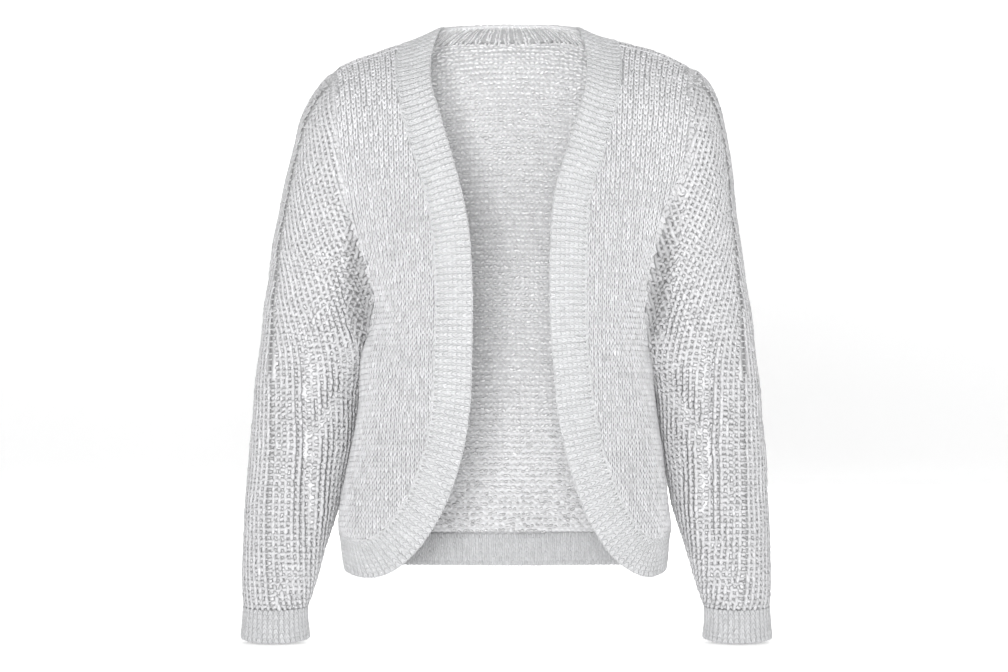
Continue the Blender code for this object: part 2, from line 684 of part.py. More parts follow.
def side_turns(side):
    """Rows down the armhole and the side seam, shared by the front, the back and the sleeve."""
    phi = np.linspace(0.0, math.pi, ARMHOLE_STEPS + 1)
    hole = turn_of(underarm_v(side) * (1 - np.cos(phi)) / 2)
    foot = float(band_places(side, np.array([1.0]))[3][0])
    seam = np.linspace(hole[-1], foot, SIDE_STEPS + 1)
    return np.concatenate([hole, seam[1:]])


def edge_normals(side, face, normals):
    """Gives the armhole's column the normals shared with the sleeve."""
    phi = np.linspace(0.0, math.pi, ARMHOLE_STEPS + 1)
    if face > 0:
        phi = 2 * math.pi - phi
    normals[: ARMHOLE_STEPS + 1, 0] = armhole_normal(side, phi)
    return normals


# ---------------------------------------------------------------- pieces
def front_panel(side, material, collection):
    turns = side_turns(side)
    samples = np.linspace(0.0, 1.0, 2 * FRONT_BAND_RIBS + 1)
    seam_a, seam_turn = band_places(side, samples)[2:]
    corner = int(round(CORNER_K * 2 * FRONT_BAND_RIBS))
    wanted = turns * seam_turn[corner] / turns[-1]
    picks = np.array([int(np.argmin(np.abs(seam_turn[: corner + 1] - t))) for t in wanted])
    picks[0] = 0
    picks[-1] = corner
    for i in range(1, len(picks)):
        picks[i] = max(picks[i], picks[i - 1] + 1)
    picks = np.minimum(picks, corner - np.arange(len(picks))[::-1])
    foot_picks = np.linspace(2 * FRONT_BAND_RIBS, corner, FRONT_COLUMNS + 1).round().astype(int)
    left = np.stack([np.zeros_like(turns), turns], axis=-1)
    right = np.stack([seam_a[picks], seam_turn[picks]], axis=-1)
    top = np.stack([np.linspace(0.0, seam_a[0], FRONT_COLUMNS + 1), np.zeros(FRONT_COLUMNS + 1)], axis=-1)
    foot = np.stack([seam_a[foot_picks], seam_turn[foot_picks]], axis=-1)
    places = coons(left, right, top, foot)
    points = body_point(side, FRONT, places[..., 0], places[..., 1])
    normals = edge_normals(side, FRONT, body_normal(side, FRONT, places[..., 0], places[..., 1]))
    half = SEAM_GAP / 2
    off = half + PANEL_EASE
    points = drawn_in(points, normals, False, top=half, foot=off, start=half, end=off)
    inner = points - normals * WALL
    name = SIDE_NAME[side] + "_front_panel"
    return plain_wall(name, points, inner, False, material, collection)


def back_panel(material, collection):
    halves = []
    for side in (RIGHT, LEFT):
        turns = side_turns(side)
        rows = len(turns)
        neck_k = np.linspace(1.0, 0.0, NECK_COLUMNS + 1) * SIDE_SIGN[side]
        neck_a, neck_turn = neck_places(neck_k, 0.0)
        shoulder_a = np.linspace(0.0, neck_a[0], SHOULDER_COLUMNS + 1)[:-1]
        top_a = np.concatenate([shoulder_a, neck_a])
        top_turn = np.concatenate([np.zeros(SHOULDER_COLUMNS), neck_turn])
        columns = len(top_a)
        foot_a = np.linspace(0.0, 1.0, columns)
        foot_turn = hem_turn(side, foot_a, 0)
        down = ((turns - turns[0]) / (turns[-1] - turns[0]))[:, None]
        index = np.linspace(0.0, 1.0, rows)[:, None]
        place_a = foot_a + (top_a - foot_a) * (1 - index) ** 3
        place_turn = top_turn + (foot_turn - top_turn) * down
        places = np.stack([place_a, place_turn], axis=-1)
        points = body_point(side, BACK, places[..., 0], places[..., 1])
        normals = edge_normals(side, BACK, body_normal(side, BACK, places[..., 0], places[..., 1]))
        halves.append((points, normals))
    points = np.concatenate([halves[0][0], halves[1][0][:, -2::-1]], axis=1)
    normals = np.concatenate([halves[0][1], halves[1][1][:, -2::-1]], axis=1)
    half = SEAM_GAP / 2
    moved = drawn_in(points, normals, False, top=half, foot=half, start=half, end=half)
    neck = slice(SHOULDER_COLUMNS, -SHOULDER_COLUMNS)
    ease = seam_shift(points[0], normals[0], points[1], False, PANEL_EASE)
    moved[0, neck] += ease[neck]
    inner = moved - normals * WALL
    return plain_wall("back_panel", moved, inner, False, material, collection)


def raised(points, normals):
    """Outer face of a ribbed piece: grooves on the even columns, ribs on the odd ones."""
    lift = np.where(np.arange(points.shape[1]) % 2 == 1, RIB_HEIGHT, 0.0) - BAND_INSET
    outer = points + normals * lift[None, :, None]
    inner = (points - normals * (BAND_INSET + BAND_WALL))[:, ::2]
    return outer, inner


def front_band(side, material, collection):
    k = np.linspace(0.0, 1.0, 2 * FRONT_BAND_RIBS + 1)
    edge_a, edge_turn, seam_a, seam_turn = band_places(side, k)
    share = np.linspace(0.0, 1.0, 2)[:, None]
    a = seam_a[None] * (1 - share) + edge_a[None] * share
    turn = seam_turn[None] * (1 - share) + edge_turn[None] * share
    points = body_point(side, FRONT, a, turn)
    normals = body_normal(side, FRONT, a, turn)
    half = SEAM_GAP / 2
    points = drawn_in(points, normals, False, top=half, start=half, end=half)
    outer, inner = raised(points, normals)
    name = SIDE_NAME[side] + "_front_band"
    return ribbed_wall(name, outer, inner, False, material, collection)


def neck_band(material, collection):
    k = np.linspace(-1.0, 1.0, 2 * NECK_BAND_RIBS + 1)
    rows = []
    for share in (0.0, 1.0):
        a, turn = neck_places(k, share)
        right = body_point(RIGHT, BACK, a, turn)
        left = body_point(LEFT, BACK, a, turn)
        right_n = body_normal(RIGHT, BACK, a, turn)
        left_n = body_normal(LEFT, BACK, a, turn)
        here = (k < 0)[:, None]
        rows.append((np.where(here, right, left), np.where(here, right_n, left_n)))
    points = np.stack([row[0] for row in rows])
    normals = np.stack([row[1] for row in rows])
    half = SEAM_GAP / 2
    points = drawn_in(points, normals, False, top=half, start=half, end=half)
    outer, inner = raised(points, normals)
    return ribbed_wall("back_neck_band", outer, inner, False, material, collection)


def back_hem(material, collection):
    u = np.linspace(-1.0, 1.0, 2 * HEM_RIBS + 1)
    a = 1 - np.abs(u)
    rows = []
    for which in (0, 1):
        both = []
        for side in (RIGHT, LEFT):
            turn = hem_turn(side, a, which)
            point = body_point(side, BACK, a, turn)
            both.append((point, body_normal(side, BACK, a, turn)))
        here = (u < 0)[:, None]
        rows.append((np.where(here, both[0][0], both[1][0]), np.where(here, both[0][1], both[1][1])))
    points = np.stack([row[0] for row in rows])
    normals = np.stack([row[1] for row in rows])
    half = SEAM_GAP / 2
    points = drawn_in(points, normals, False, top=half, start=half, end=half)
    outer, inner = raised(points, normals)
    return ribbed_wall("back_hem_rib", outer, inner, False, material, collection)


def sleeve(side, material, collection):
    table = SLEEVES[side]
    t = np.arange(len(table), dtype=float)[:, None]
    phi = np.linspace(0.0, 2 * math.pi, 2 * ARMHOLE_STEPS + 1)[:-1][None]
    t, phi = np.broadcast_arrays(t, phi)
    points = tube_point(side, table, t, phi, True)
    normals = tube_normal(side, table, t, phi, True)
    points[0] = armhole_point(side, phi[0])
    normals[0] = armhole_normal(side, phi[0])
    normals[-1] = cuff_normal(side, phi[-1])
    half = SEAM_GAP / 2
    points = drawn_in(points, normals, True, top=half, foot=half)
    inner = points - normals * WALL
    return plain_wall(SIDE_NAME[side] + "_sleeve", points, inner, True, material, collection)


def cuff_normal(side, phi):
    """Level normals round the cuff's seam, shared by the sleeve and the cuff."""
    table = CUFFS[side]
    n = tube_normal(side, table, np.zeros_like(phi), phi, False)
    n[..., 2] = 0.0
    return n / np.linalg.norm(n, axis=-1, keepdims=True)


def cuff(side, material, collection):
    table = CUFFS[side]
    t = np.array([0.0, len(table) - 1.0])[:, None]
    phi = np.linspace(0.0, 2 * math.pi, 2 * CUFF_RIBS + 1)[:-1][None]
    t, phi = np.broadcast_arrays(t, phi)
    points = tube_point(side, table, t, phi, False)
    normals = tube_normal(side, table, t, phi, False)
    normals[0] = cuff_normal(side, phi[0])
    points = drawn_in(points, normals, True, top=SEAM_GAP / 2)
    outer, inner = raised(points, normals)
    return ribbed_wall(SIDE_NAME[side] + "_cuff", outer, inner, True, material, collection)


# ---------------------------------------------------------------- materials
def cloth(name, colour, roughness):
    made = bpy.data.materials.new(name)
    made.use_nodes = True
    shader = made.node_tree.nodes["Principled BSDF"]
    shader.inputs["Base Color"].default_value = (*colour, 1.0)
    shader.inputs["Roughness"].default_value = roughness
    shader.inputs["Metallic"].default_value = 0.0
    made.diffuse_color = (*colour, 1.0)
    return made


def main():
    for old in list(bpy.data.objects):
        bpy.data.objects.remove(old, do_unlink=True)
    cardigan = bpy.data.collections.new("cardigan")
    bpy.context.scene.collection.children.link(cardigan)
    back_panel(cloth("back_knit", PANEL_COLOUR, CLOTH_ROUGHNESS), cardigan)
    for side in (RIGHT, LEFT):
        label = SIDE_NAME[side]
        front_panel(side, cloth(label + "_front_knit", PANEL_COLOUR, CLOTH_ROUGHNESS), cardigan)
        front_band(side, cloth(label + "_band_rib", BAND_COLOUR, CLOTH_ROUGHNESS), cardigan)
        sleeve(side, cloth(label + "_sleeve_knit", SLEEVE_COLOUR, CLOTH_ROUGHNESS), cardigan)
        cuff(side, cloth(label + "_cuff_rib", RIB_COLOUR, CLOTH_ROUGHNESS), cardigan)
    neck_band(cloth("neck_rib", RIB_COLOUR, CLOTH_ROUGHNESS), cardigan)
    back_hem(cloth("hem_rib", RIB_COLOUR, CLOTH_ROUGHNESS), cardigan)


if __name__ == "__main__":
    main()
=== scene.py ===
"""Looks of the knitted open-front cardigan: thin knitted shells, ribs, stitches, seams, floor and light.

Tables are in millimetres; +Z is up, the front faces -Y, the wearer's left is +X.
"""
import math

import bmesh
import bpy
import numpy as np
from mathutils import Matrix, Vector


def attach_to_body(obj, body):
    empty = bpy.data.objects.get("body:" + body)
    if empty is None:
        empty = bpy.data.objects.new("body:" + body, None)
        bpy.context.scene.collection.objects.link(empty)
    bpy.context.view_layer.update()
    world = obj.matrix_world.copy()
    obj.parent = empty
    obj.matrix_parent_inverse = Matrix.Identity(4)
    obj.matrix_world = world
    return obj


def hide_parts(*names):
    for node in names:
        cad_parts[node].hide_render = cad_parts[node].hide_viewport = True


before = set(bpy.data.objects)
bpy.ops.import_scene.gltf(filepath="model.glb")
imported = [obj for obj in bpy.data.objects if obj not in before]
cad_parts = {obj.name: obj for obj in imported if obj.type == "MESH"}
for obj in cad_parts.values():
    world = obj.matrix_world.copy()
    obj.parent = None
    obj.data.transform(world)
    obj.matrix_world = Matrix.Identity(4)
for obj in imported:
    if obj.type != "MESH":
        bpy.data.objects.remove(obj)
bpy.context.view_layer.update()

MM = 0.001
SEED = 7
RIGHT = 0                 # the wearer's right, -X
LEFT = 1                  # the wearer's left, +X
SIDE_SIGN = (-1.0, 1.0)
SIDE_NAME = ("right", "left")
FRONT = -1.0
BACK = 1.0
QUARTER = math.pi / 2
ROUND = 2 * math.pi
WHITE = (1.0, 1.0, 1.0)

# ---------------- driving sizes of the solids, millimetres
RIB_HEIGHT = 1.2          # height of a rib over its groove
HEM_Z = -532.0            # height of the lowest edge
RIDGE_DROP = 65.0         # how far down the shoulder rounds over
ROUND_V = RIDGE_DROP / -HEM_Z
SIDE_SHIFT = -12.0        # the side seam lies this far in front of the shoulder seam
SECTION_FULLNESS = 0.35   # 0 is an ellipse, more is a squarer body section
FRONT_ARMHOLE_REACH = 0.78
BACK_ARMHOLE_REACH = 0.62
CORNER_K = 0.74           # place on the front band's seam where the panel's lower corner turns
FRONT_BAND_RIBS = 106
NECK_BAND_RIBS = 30
HEM_RIBS = 74
CUFF_RIBS = 36
TIP = (174.0, 184.0)              # shoulder end of the armhole, from the middle
UNDERARM_Z = (-295.0, -310.0)     # lowest point of the armhole
HEM_MIDDLE = (-497.5, -531.0)     # back hem in the middle: height of its seam, height of its lower edge
NECK_SEAM_BACK = 70.0             # how far back the neck band's seam and edge reach
NECK_EDGE_BACK = 34.0

# Shoulder ridge: distance from the middle, height on the wearer's right and left
RIDGE_COLUMNS = ("across", "right", "left")
RIDGE = (
    (0, 40, 40), (35, 37.5, 38.5), (52, 34.5, 36.5), (66, 30, 33), (80, 23, 26.8), (92, 17.8, 21.2),
    (104, 13.6, 17.2), (120, 8.8, 13.6), (140, 1.8, 8.6), (160, -5, 2.2), (176, -13.2, -5.5),
    (190, -20, -12.5), (260, -60, -50),
)

# Side of the body and fold of the armhole: height, distance from the middle
OUTLINE_COLUMNS = ("height", "right", "left")
OUTLINE = (
    (-540, 165, 162), (-526, 166.8, 163.5), (-514, 168.8, 165), (-497, 170.8, 166.3), (-484, 173, 168),
    (-466, 172, 166), (-440, 167.5, 163.5), (-413, 161.5, 159.7), (-377, 154, 154.5), (-335, 150, 148.5),
    (-303, 145, 143.5), (-282, 139, 142), (-257, 136, 142), (-226, 141.5, 145.5), (-195, 150.5, 151),
    (-163, 159.5, 161), (-132, 166, 174), (-105, 169.5, 182), (-80, 172, 185), (-50, 173.5, 185.5),
    (-10, 174, 184), (40, 174, 184),
)

# Depth of the body in front of and behind the shoulder line, by height
DEPTH_COLUMNS = ("height", "front", "back")
DEPTH = (
    (-540, 91, 105), (-460, 92, 101), (-400, 93, 100), (-330, 97, 103), (-260, 101, 111), (-200, 102, 117),
    (-150, 99, 119), (-100, 90, 117), (-60, 79, 111), (-28, 66, 105), (0, 52, 101), (30, 40, 100),
    (60, 34, 100),
)

# Front bands, one row for a rib line: free edge and seam in the front view
BAND_COLUMNS = ("edge_across", "edge_height", "seam_across", "seam_height")
BAND_RIGHT = (
    (66, 30, 105, 13.5), (74.5, 13, 112, 0), (78.5, -8, 112, -17), (77, -34, 108.8, -44),
    (68.5, -64, 102, -76), (56, -107, 89, -118), (45.5, -147, 79, -156), (39, -182, 74, -187),
    (36, -225, 72, -227), (35.5, -282, 72, -282), (36.5, -333, 73, -330), (39.5, -373, 76, -367),
    (46, -408, 81, -397.5), (55, -437.5, 88.5, -423), (66.5, -465, 98.5, -447), (79, -486.5, 109.5, -466),
    (93.5, -505, 121, -481.5), (110, -520, 133, -492), (126, -528.5, 144, -497),
    (142.5, -531.5, 154, -497.5), (157.5, -530, 163.5, -494.5), (166.8, -526, 171.5, -491),
)
BAND_LEFT = (
    (72.5, 30.5, 109.5, 16), (79.5, 13, 115, 4), (82, -8, 115.5, -16), (80.5, -31, 112.7, -41),
    (73, -61, 106, -72), (65, -88, 98, -99), (56.5, -114, 89.5, -124), (49, -142, 83, -148),
    (45, -176, 80, -179.5), (43.5, -222, 79, -223), (44, -270, 79, -269), (47.5, -323, 82.5, -319),
    (53.5, -377, 89, -371), (61.5, -412, 96, -402), (70.5, -441, 104, -427.5), (81, -469, 113, -450),
    (93, -490.5, 122.5, -468), (107, -509.5, 132, -483.5), (120.5, -521, 141, -492.5),
    (133.5, -528.5, 148.5, -495.5), (146, -531, 155.5, -495), (157.5, -529, 162, -491.5),
    (164.5, -526, 167.5, -488),
)

# Sleeves, one row for a ring: outer point, inner point (front view, distance from the middle and height),
# half depth in front and behind, how far back its centre lies, how far its front dips, roundness
TUBE_COLUMNS = ("outer", "outer_z", "inner", "inner_z", "front", "back", "centre_y", "dip", "round")
SLEEVE_RIGHT = (
    (174, -12.4, 143, -295, 66, 69, 0, 0, 0), (186, -21.6, 144.8, -296.2, 64, 67, -3, 0, 0.12),
    (195, -32, 146.6, -297.8, 62, 65.5, 1, 0, 0.25), (203.5, -45, 148, -300, 60.5, 64, 4, 0, 0.36),
    (213, -66, 149, -303, 58.5, 62, 6.5, 0, 0.48), (222.5, -100, 149.6, -307, 56.5, 60, 9, 0, 0.6),
    (233.8, -150, 149.8, -312.5, 54.5, 58, 11.5, 0, 0.72), (243.5, -202, 149.7, -320, 53, 56, 14, 0, 0.84),
    (250.5, -251, 149.6, -330.5, 52, 53, 15.5, 0, 0.93), (255, -289, 150.6, -344, 51, 51, 15, 0, 1),
    (258.5, -321, 151.8, -361, 50, 49.5, 14.5, 0, 1), (262, -350, 154.2, -380, 49, 48.5, 14, 0, 1),
    (264.7, -383, 158.9, -405, 48, 47.5, 13.5, 0, 1), (267.7, -418, 165.2, -432, 46.5, 46, 12.5, 0, 1),
    (270.5, -449, 171, -458, 44.5, 45, 13, 0, 1), (272.3, -480, 179.3, -485, 42, 42.5, 9, 0, 1),
    (273.2, -511, 188.2, -513, 39, 39.5, 5.5, 0.5, 1), (273.2, -540, 196.4, -540, 35.5, 36, 2.5, 1, 1),
    (272.6, -557.5, 201.7, -557.5, 33, 33.5, 0.5, 1.5, 1),
    (271.5, -566.5, 205.5, -566.5, 30.5, 31, 0, 2, 1),
)
SLEEVE_LEFT = (
    (184, -9.5, 145, -310, 68, 71, 0, 0, 0), (195, -14.2, 146.4, -311.3, 66, 69, -3, 0, 0.12),
    (208, -26.8, 147.8, -313, 64, 67, 1, 0, 0.25), (217.5, -46, 148.8, -315.3, 62, 65, 4, 0, 0.36),
    (225.3, -72, 149.4, -318.2, 60, 63, 6.5, 0, 0.48), (231, -108, 149.7, -322.2, 57.5, 60.5, 9, 0, 0.6),
    (237.2, -156, 149.8, -327.5, 55, 58, 11.5, 0, 0.72),
    (243.8, -202, 149.7, -334.5, 53, 55, 13.5, 0, 0.84), (249.5, -245, 150, -343, 52, 52, 13.5, 0, 0.93),
    (255.2, -284, 151.2, -355, 51, 50, 13, 0, 1), (259.4, -321, 152.8, -368, 50, 49, 13, 0, 1),
    (263, -352, 155.3, -385, 49, 48, 13, 0, 1), (266, -387, 158.9, -408, 48, 47, 12.5, 0, 1),
    (268.6, -421, 164, -433, 46.5, 46, 11.5, 0, 1), (270.3, -453, 169.6, -461, 44.5, 45, 12, 0, 1),
    (271.4, -485, 178.2, -489, 42, 42.5, 8.5, 0, 1), (272.2, -514, 186.2, -516, 39, 39.5, 5.5, 0.5, 1),
    (272.4, -541, 193.8, -541, 35.5, 36, 2.5, 1, 1), (271.7, -558, 199.2, -558, 33, 33.5, 0.5, 1.5, 1),
    (270.3, -566.5, 203.3, -566.5, 30.5, 31, 0, 2, 1),
)

# Cuffs: the same columns, from the sleeve's seam to the open end
CUFF_RIGHT = (
    SLEEVE_RIGHT[-1], (272.5, -582, 205, -582, 30.5, 31, 0, 3, 1),
    (274, -598, 203, -598, 31.5, 32, 0, 4, 1),
)
CUFF_LEFT = (
    SLEEVE_LEFT[-1], (271.3, -582, 203.3, -582, 30.5, 31, 0, 3, 1),
    (272.8, -598, 201.3, -598, 31.5, 32, 0, 4, 1),
)

# Folds of a sleeve, as troughs seen from the front or the back: which face (-1 front, 1 back), upper end
# and lower end (distance from the middle, height), half width at both ends, depth
FOLD_COLUMNS = ("face", "top", "top_z", "foot", "foot_z", "top_width", "foot_width", "depth")
FOLDS_RIGHT = (
    (-1, 164, -195, 152, -270, 9, 12, 13), (1, 164, -195, 152, -270, 9, 12, 9),
    (-1, 206, -290, 203, -470, 9, 9, 3), (1, 196, -300, 206, -470, 10, 9, 3),
)
FOLDS_LEFT = (
    (-1, 168, -195, 153, -282, 9, 12, 13), (1, 168, -195, 153, -282, 9, 12, 9),
    (-1, 200, -330, 212, -500, 9, 9, 3), (1, 206, -300, 210, -480, 10, 9, 3),
)

BANDS = (BAND_RIGHT, BAND_LEFT)
SLEEVES = (SLEEVE_RIGHT, SLEEVE_LEFT)
CUFFS = (CUFF_RIGHT, CUFF_LEFT)
FOLDS = (FOLDS_RIGHT, FOLDS_LEFT)

# ---------------- knit sizes, millimetres
SLEEVE_WALE = 6.6
SLEEVE_COURSE = 6.2
BODY_WALE = 4.7
BODY_COURSE = 5.6
RIB_COURSE = 4.7
CUFF_COURSE = 4.6
BACK_GAUGE = 1.04         # the back is knitted this much looser
WALE_FAN = 0.22           # how far the side wales of the body lean out at the shoulder
WALE_FAN_TURN = 3.2
SHELL = 1.0               # thickness of a shell
BODY_SINK = 1.0           # the ground lies this far under the solid's face
SLEEVE_SINK = 1.25
SLEEVE_YARN = 1.2         # thickness of a stitch, and how far its middle lies off the solid's face
SLEEVE_LIFT = -0.85
PANEL_YARN = 1.7
PANEL_LIFT = -0.45
PURL_YARN = 1.5
PURL_LIFT = 0.4
RIB_YARN = 0.9
RIB_LIFT = 0.1
RIB_LIFT_INSIDE = 3.35
SIDE_MARGIN = 0.6         # bare edge of a panel's ground at its side, top, band and hem
TOP_MARGIN = 1.5
BAND_MARGIN = 0.9
HEM_MARGIN = 2.0
CROWN_Z = -60.0           # the sleeve's cords grow shorter above this height
CROWN_WAY = 40.0
RIB_FLOOR = -0.95         # height of the ribs' outer grooves against the solid's face
RIB_WALL = 1.5            # thickness between the grooves outside and inside
STRAY = 0.05              # how far a leg strays sideways, as a share of the wale
LEG_TILT = 0.06           # how much a leg of a stitch rises towards its foot
LEG_REACH = 1.5           # length of a leg, in courses
CORD_TURN = 0.26          # row of the shoulder seam's cord on the front
TIP_CLEAR = 3.8           # the sleeve's levels end this far under the shoulder tip
SEAM_CLEAR = 0.08         # stitches keep this share of a row off the armhole
LEAP = 7.5                # a wale that moves further than this in one level has left the sleeve
OVERARM_SHIFT = 32.0      # the overarm seam lies this far in front of the outer fold
OVERARM_DRIFT = 15.0      # and this much more on the lower arm
OVERARM_DRIFT_TOP = -250.0
OVERARM_DRIFT_WAY = 150.0
OVERARM_GAP = 2.0         # open way beside the overarm seam
SEAM_SHADE = 0.78         # painted shade: how much darker the ground is coloured along the overarm seam's open way
SEAM_SHADE_WAY = 0.075    # half of that strip, as an angle round the sleeve
FOLD_SHADE = 0.76         # painted shade: how much darker the ground is coloured in the fold under the arm
FOLD_PAINTED_SHADE_STEPS = 6.0           # painted shade: how many steps of tone darker the stitches are coloured there
CROWN_HEIGHT = 105.0      # above this height under the shoulder the wales swing more
CROWN_SLANT = 1.2
WALE_SLANT = 0.50         # slant of the upper sleeve's wales against the overarm seam
BACK_SLANT = 0.6          # share of it behind
SLANT_FOOT = 345.0        # the slant eases in from this height under the shoulder to the next one
SLANT_EASE = 200.0
FOLD_SLANT = 0.36         # slant of the wales in the fold under the arm
PRESS_Z = -312.0          # sleeve and body are pressed together at this height
PRESS_REACH = 24.0        # and this far up and down
PRESS_SLEEVE = 4.5
PRESS_BODY = 2.0
A_LENGTH = 190.0          # about how long a is, for distances on a panel
TURN_LENGTH = RIDGE_DROP * QUARTER
LEVEL_STEP = 2.4          # height between two level sections of a sleeve
AROUND = 240              # steps round such a section, and down the sleeve
RIB_STEPS = 6             # columns of a shell to a rib

# Outer edge of the underarm fold in the front view: height, distance from the middle, and the fold's ends
FOLD_EDGE_COLUMNS = ("height", "right", "left")
FOLD_EDGE = (
    (-420, 120, 120), (-330, 140, 143), (-306, 152, 152), (-285, 160, 161), (-257, 166, 168),
    (-200, 167.5, 174), (-150, 168, 180), (-110, 168.5, 184),
)
FOLD_EDGE_TOP = (-172.0, -125.0)
FOLD_EDGE_FOOT = -340.0

# Soft creases: face, upper end and lower end (across, height), half width, depth (out is more than 0)
CREASE_COLUMNS = ("face", "top", "top_z", "foot", "foot_z", "width", "depth")
BODY_CREASES = (
    (-1, -150, -215, -112, -330, 9, -2.2), (-1, -160, -160, -120, -250, 10, 1.6),
    (-1, 152, -220, 116, -335, 9, -2.2), (-1, 165, -165, 122, -255, 10, 1.6),
    (-1, -140, -350, -120, -450, 12, 1.5), (-1, 138, -360, 122, -455, 12, 1.5),
    (1, -140, -200, -60, -330, 14, -3), (1, 146, -210, 66, -345, 14, -3),
    (1, -120, -130, -40, -210, 16, 2.4), (1, 126, -136, 46, -205, 16, 2.2),
    (1, -110, -400, -96, -500, 14, -2), (1, 100, -390, 112, -495, 14, -2), (1, -10, -330, 4, -470, 20, 1.8),
)
SLEEVE_CREASES = (
    (-1, 212, -290, 205, -500, 5, -4.4), (-1, 224, -330, 214, -480, 8, 2),
    (-1, 168, -330, 206, -400, 6, -3.2), (-1, 178, -318, 226, -376, 9, 2),
    (-1, 176, -380, 182, -500, 7, -2.4), (-1, 212, -525, 254, -552, 7, -2.6),
    (1, 170, -320, 214, -372, 8, -2.4), (1, 176, -350, 226, -410, 9, 1.8), (1, 210, -420, 222, -530, 8, -2),
    (1, 190, -150, 168, -240, 9, -2),
)


# ---------------- tables and lines
def smooth(xs, ys, t):
    """Cubic through the rows (xs ascending), flat tangents never overshoot between level rows."""
    xs = np.asarray(xs, dtype=float)
    t = np.clip(np.asarray(t, dtype=float), xs[0], xs[-1])
    step = np.diff(xs)
    slope = np.diff(ys) / step
    middle = (slope[:-1] * step[1:] + slope[1:] * step[:-1]) / (step[:-1] + step[1:])
    tangent = np.concatenate([slope[:1], middle, slope[-1:]])
    i = np.clip(np.searchsorted(xs, t, side="right") - 1, 0, len(xs) - 2)
    h = step[i]
    u = (t - xs[i]) / h
    return (
        ys[i] * (1 + 2 * u) * (1 - u) ** 2
        + ys[i + 1] * u * u * (3 - 2 * u)
        + tangent[i] * h * u * (1 - u) ** 2
        - tangent[i + 1] * h * u * u * (1 - u)
    )


def column(table, names, name):
    return np.array([row[names.index(name)] for row in table], dtype=float)


def look_up(table, names, key, value, at):
    return smooth(column(table, names, key), column(table, names, value), at)


def limited(value):
    return np.clip(value, 0.0, 1.0)


def unit(v):
    return v / np.maximum(np.linalg.norm(v, axis=-1, keepdims=True), 1e-9)


def way_along(points):
    """Length from a line's first point to each of its points."""
    return np.concatenate([[0.0], np.cumsum(np.linalg.norm(np.diff(points, axis=0), axis=1))])


def between(at, way, rows):
    """Rows of numbers at places along a way."""
    return np.stack([np.interp(at, way, numbers) for numbers in rows.T], axis=-1)


def beside_line(row, across, z):
    """How far along a table's line points lie, as a share, how far off it, and the line's length."""
    dx = row["foot"] - row["top"]
    dz = row["foot_z"] - row["top_z"]
    length = math.hypot(dx, dz)
    along = ((across - row["top"]) * dx + (z - row["top_z"]) * dz) / length ** 2
    return along, ((across - row["top"]) * dz - (z - row["top_z"]) * dx) / length, length


# ---------------- the body's surface
def ridge(side, across):
    return look_up(RIDGE, RIDGE_COLUMNS, "across", SIDE_NAME[side], np.abs(across))


def underarm_v(side):
    top = float(ridge(side, TIP[side]))
    return (top - UNDERARM_Z[side]) / (top - HEM_Z)


def side_edge(side, v):
    height = float(ridge(side, TIP[side])) * (1 - v) + HEM_Z * v
    return look_up(OUTLINE, OUTLINE_COLUMNS, "height", SIDE_NAME[side], height)


def rounding(v):
    """How much of the full depth is reached, v down from the shoulder ridge."""
    r = limited(1 - v / ROUND_V)
    return np.sqrt(1 - r * r)


def row_of(turn):
    """Row v for an even turn over the shoulder: 0 on the ridge, 1 where it is fully round."""
    turn = np.asarray(turn, dtype=float)
    over = np.maximum(turn - 1.0, 0.0)
    return ROUND_V * (1 - np.cos(np.minimum(turn, 1.0) * QUARTER) + over * QUARTER)


def turn_of(v):
    v = np.asarray(v, dtype=float)
    under = np.arccos(limited(1 - v / ROUND_V)) / QUARTER
    return np.where(v < ROUND_V, under, 1.0 + (v / ROUND_V - 1.0) / QUARTER)


def armhole_reach(side, face, v):
    """Depth of the armhole's edge as a share of the body's depth in that row."""
    r = limited(v / underarm_v(side))
    if face < 0:
        return FRONT_ARMHOLE_REACH * np.maximum(1 - r ** 2.0, 0.0) ** 0.58
    return BACK_ARMHOLE_REACH * np.maximum(1 - r ** 3.0, 0.0) ** 0.58


def side_angle(side, face, v):
    """Angle in the body's section where the panel ends: 0 at the side seam."""
    k = SECTION_FULLNESS
    reach = armhole_reach(side, face, v)
    q = (-(1 - k) + np.sqrt((1 - k) ** 2 + 4 * k * (1 - reach ** 2))) / (2 * k)
    return np.arccos(np.sqrt(limited(q)))


def body_width(side, face, v):
    return side_edge(side, v) / np.cos(side_angle(side, face, v))


def body_point(side, face, a, turn):
    """a: 0 at the side or armhole, 1 in the middle.  turn: down from the shoulder ridge."""
    a = np.asarray(a, dtype=float)
    v = row_of(turn)
    start = side_angle(side, face, v)
    angle = start + (QUARTER - start) * a
    across = body_width(side, face, v) * np.cos(angle)
    z = ridge(side, across) * (1 - v) + HEM_Z * v
    depth = look_up(DEPTH, DEPTH_COLUMNS, "height", "front" if face < 0 else "back", z)
    full = np.sin(angle) * np.sqrt(1 + SECTION_FULLNESS * np.cos(angle) ** 2)
    ease = limited(v / 0.5)
    shift = SIDE_SHIFT * ease * ease * (3 - 2 * ease)
    y = shift + face * depth * rounding(v) * full
    return np.stack([SIDE_SIGN[side] * across, y, z], axis=-1)


def body_normal(side, face, a, turn):
    d = 1e-4
    a = np.asarray(a, dtype=float)
    turn = np.maximum(np.asarray(turn, dtype=float), 0.0)
    across = body_point(side, face, a + d, turn) - body_point(side, face, np.maximum(a - d, 0.0), turn)
    down = body_point(side, face, a, turn + d) - body_point(side, face, a, np.maximum(turn - d, 0.0))
    return unit(np.cross(across, down)) * (SIDE_SIGN[side] * -face)


def place_across(side, face, across, v):
    """Place a in row v of a point so far from the middle."""
    start = side_angle(side, face, v)
    angle = np.arccos(limited(across / body_width(side, face, v)))
    return (angle - start) / (QUARTER - start)


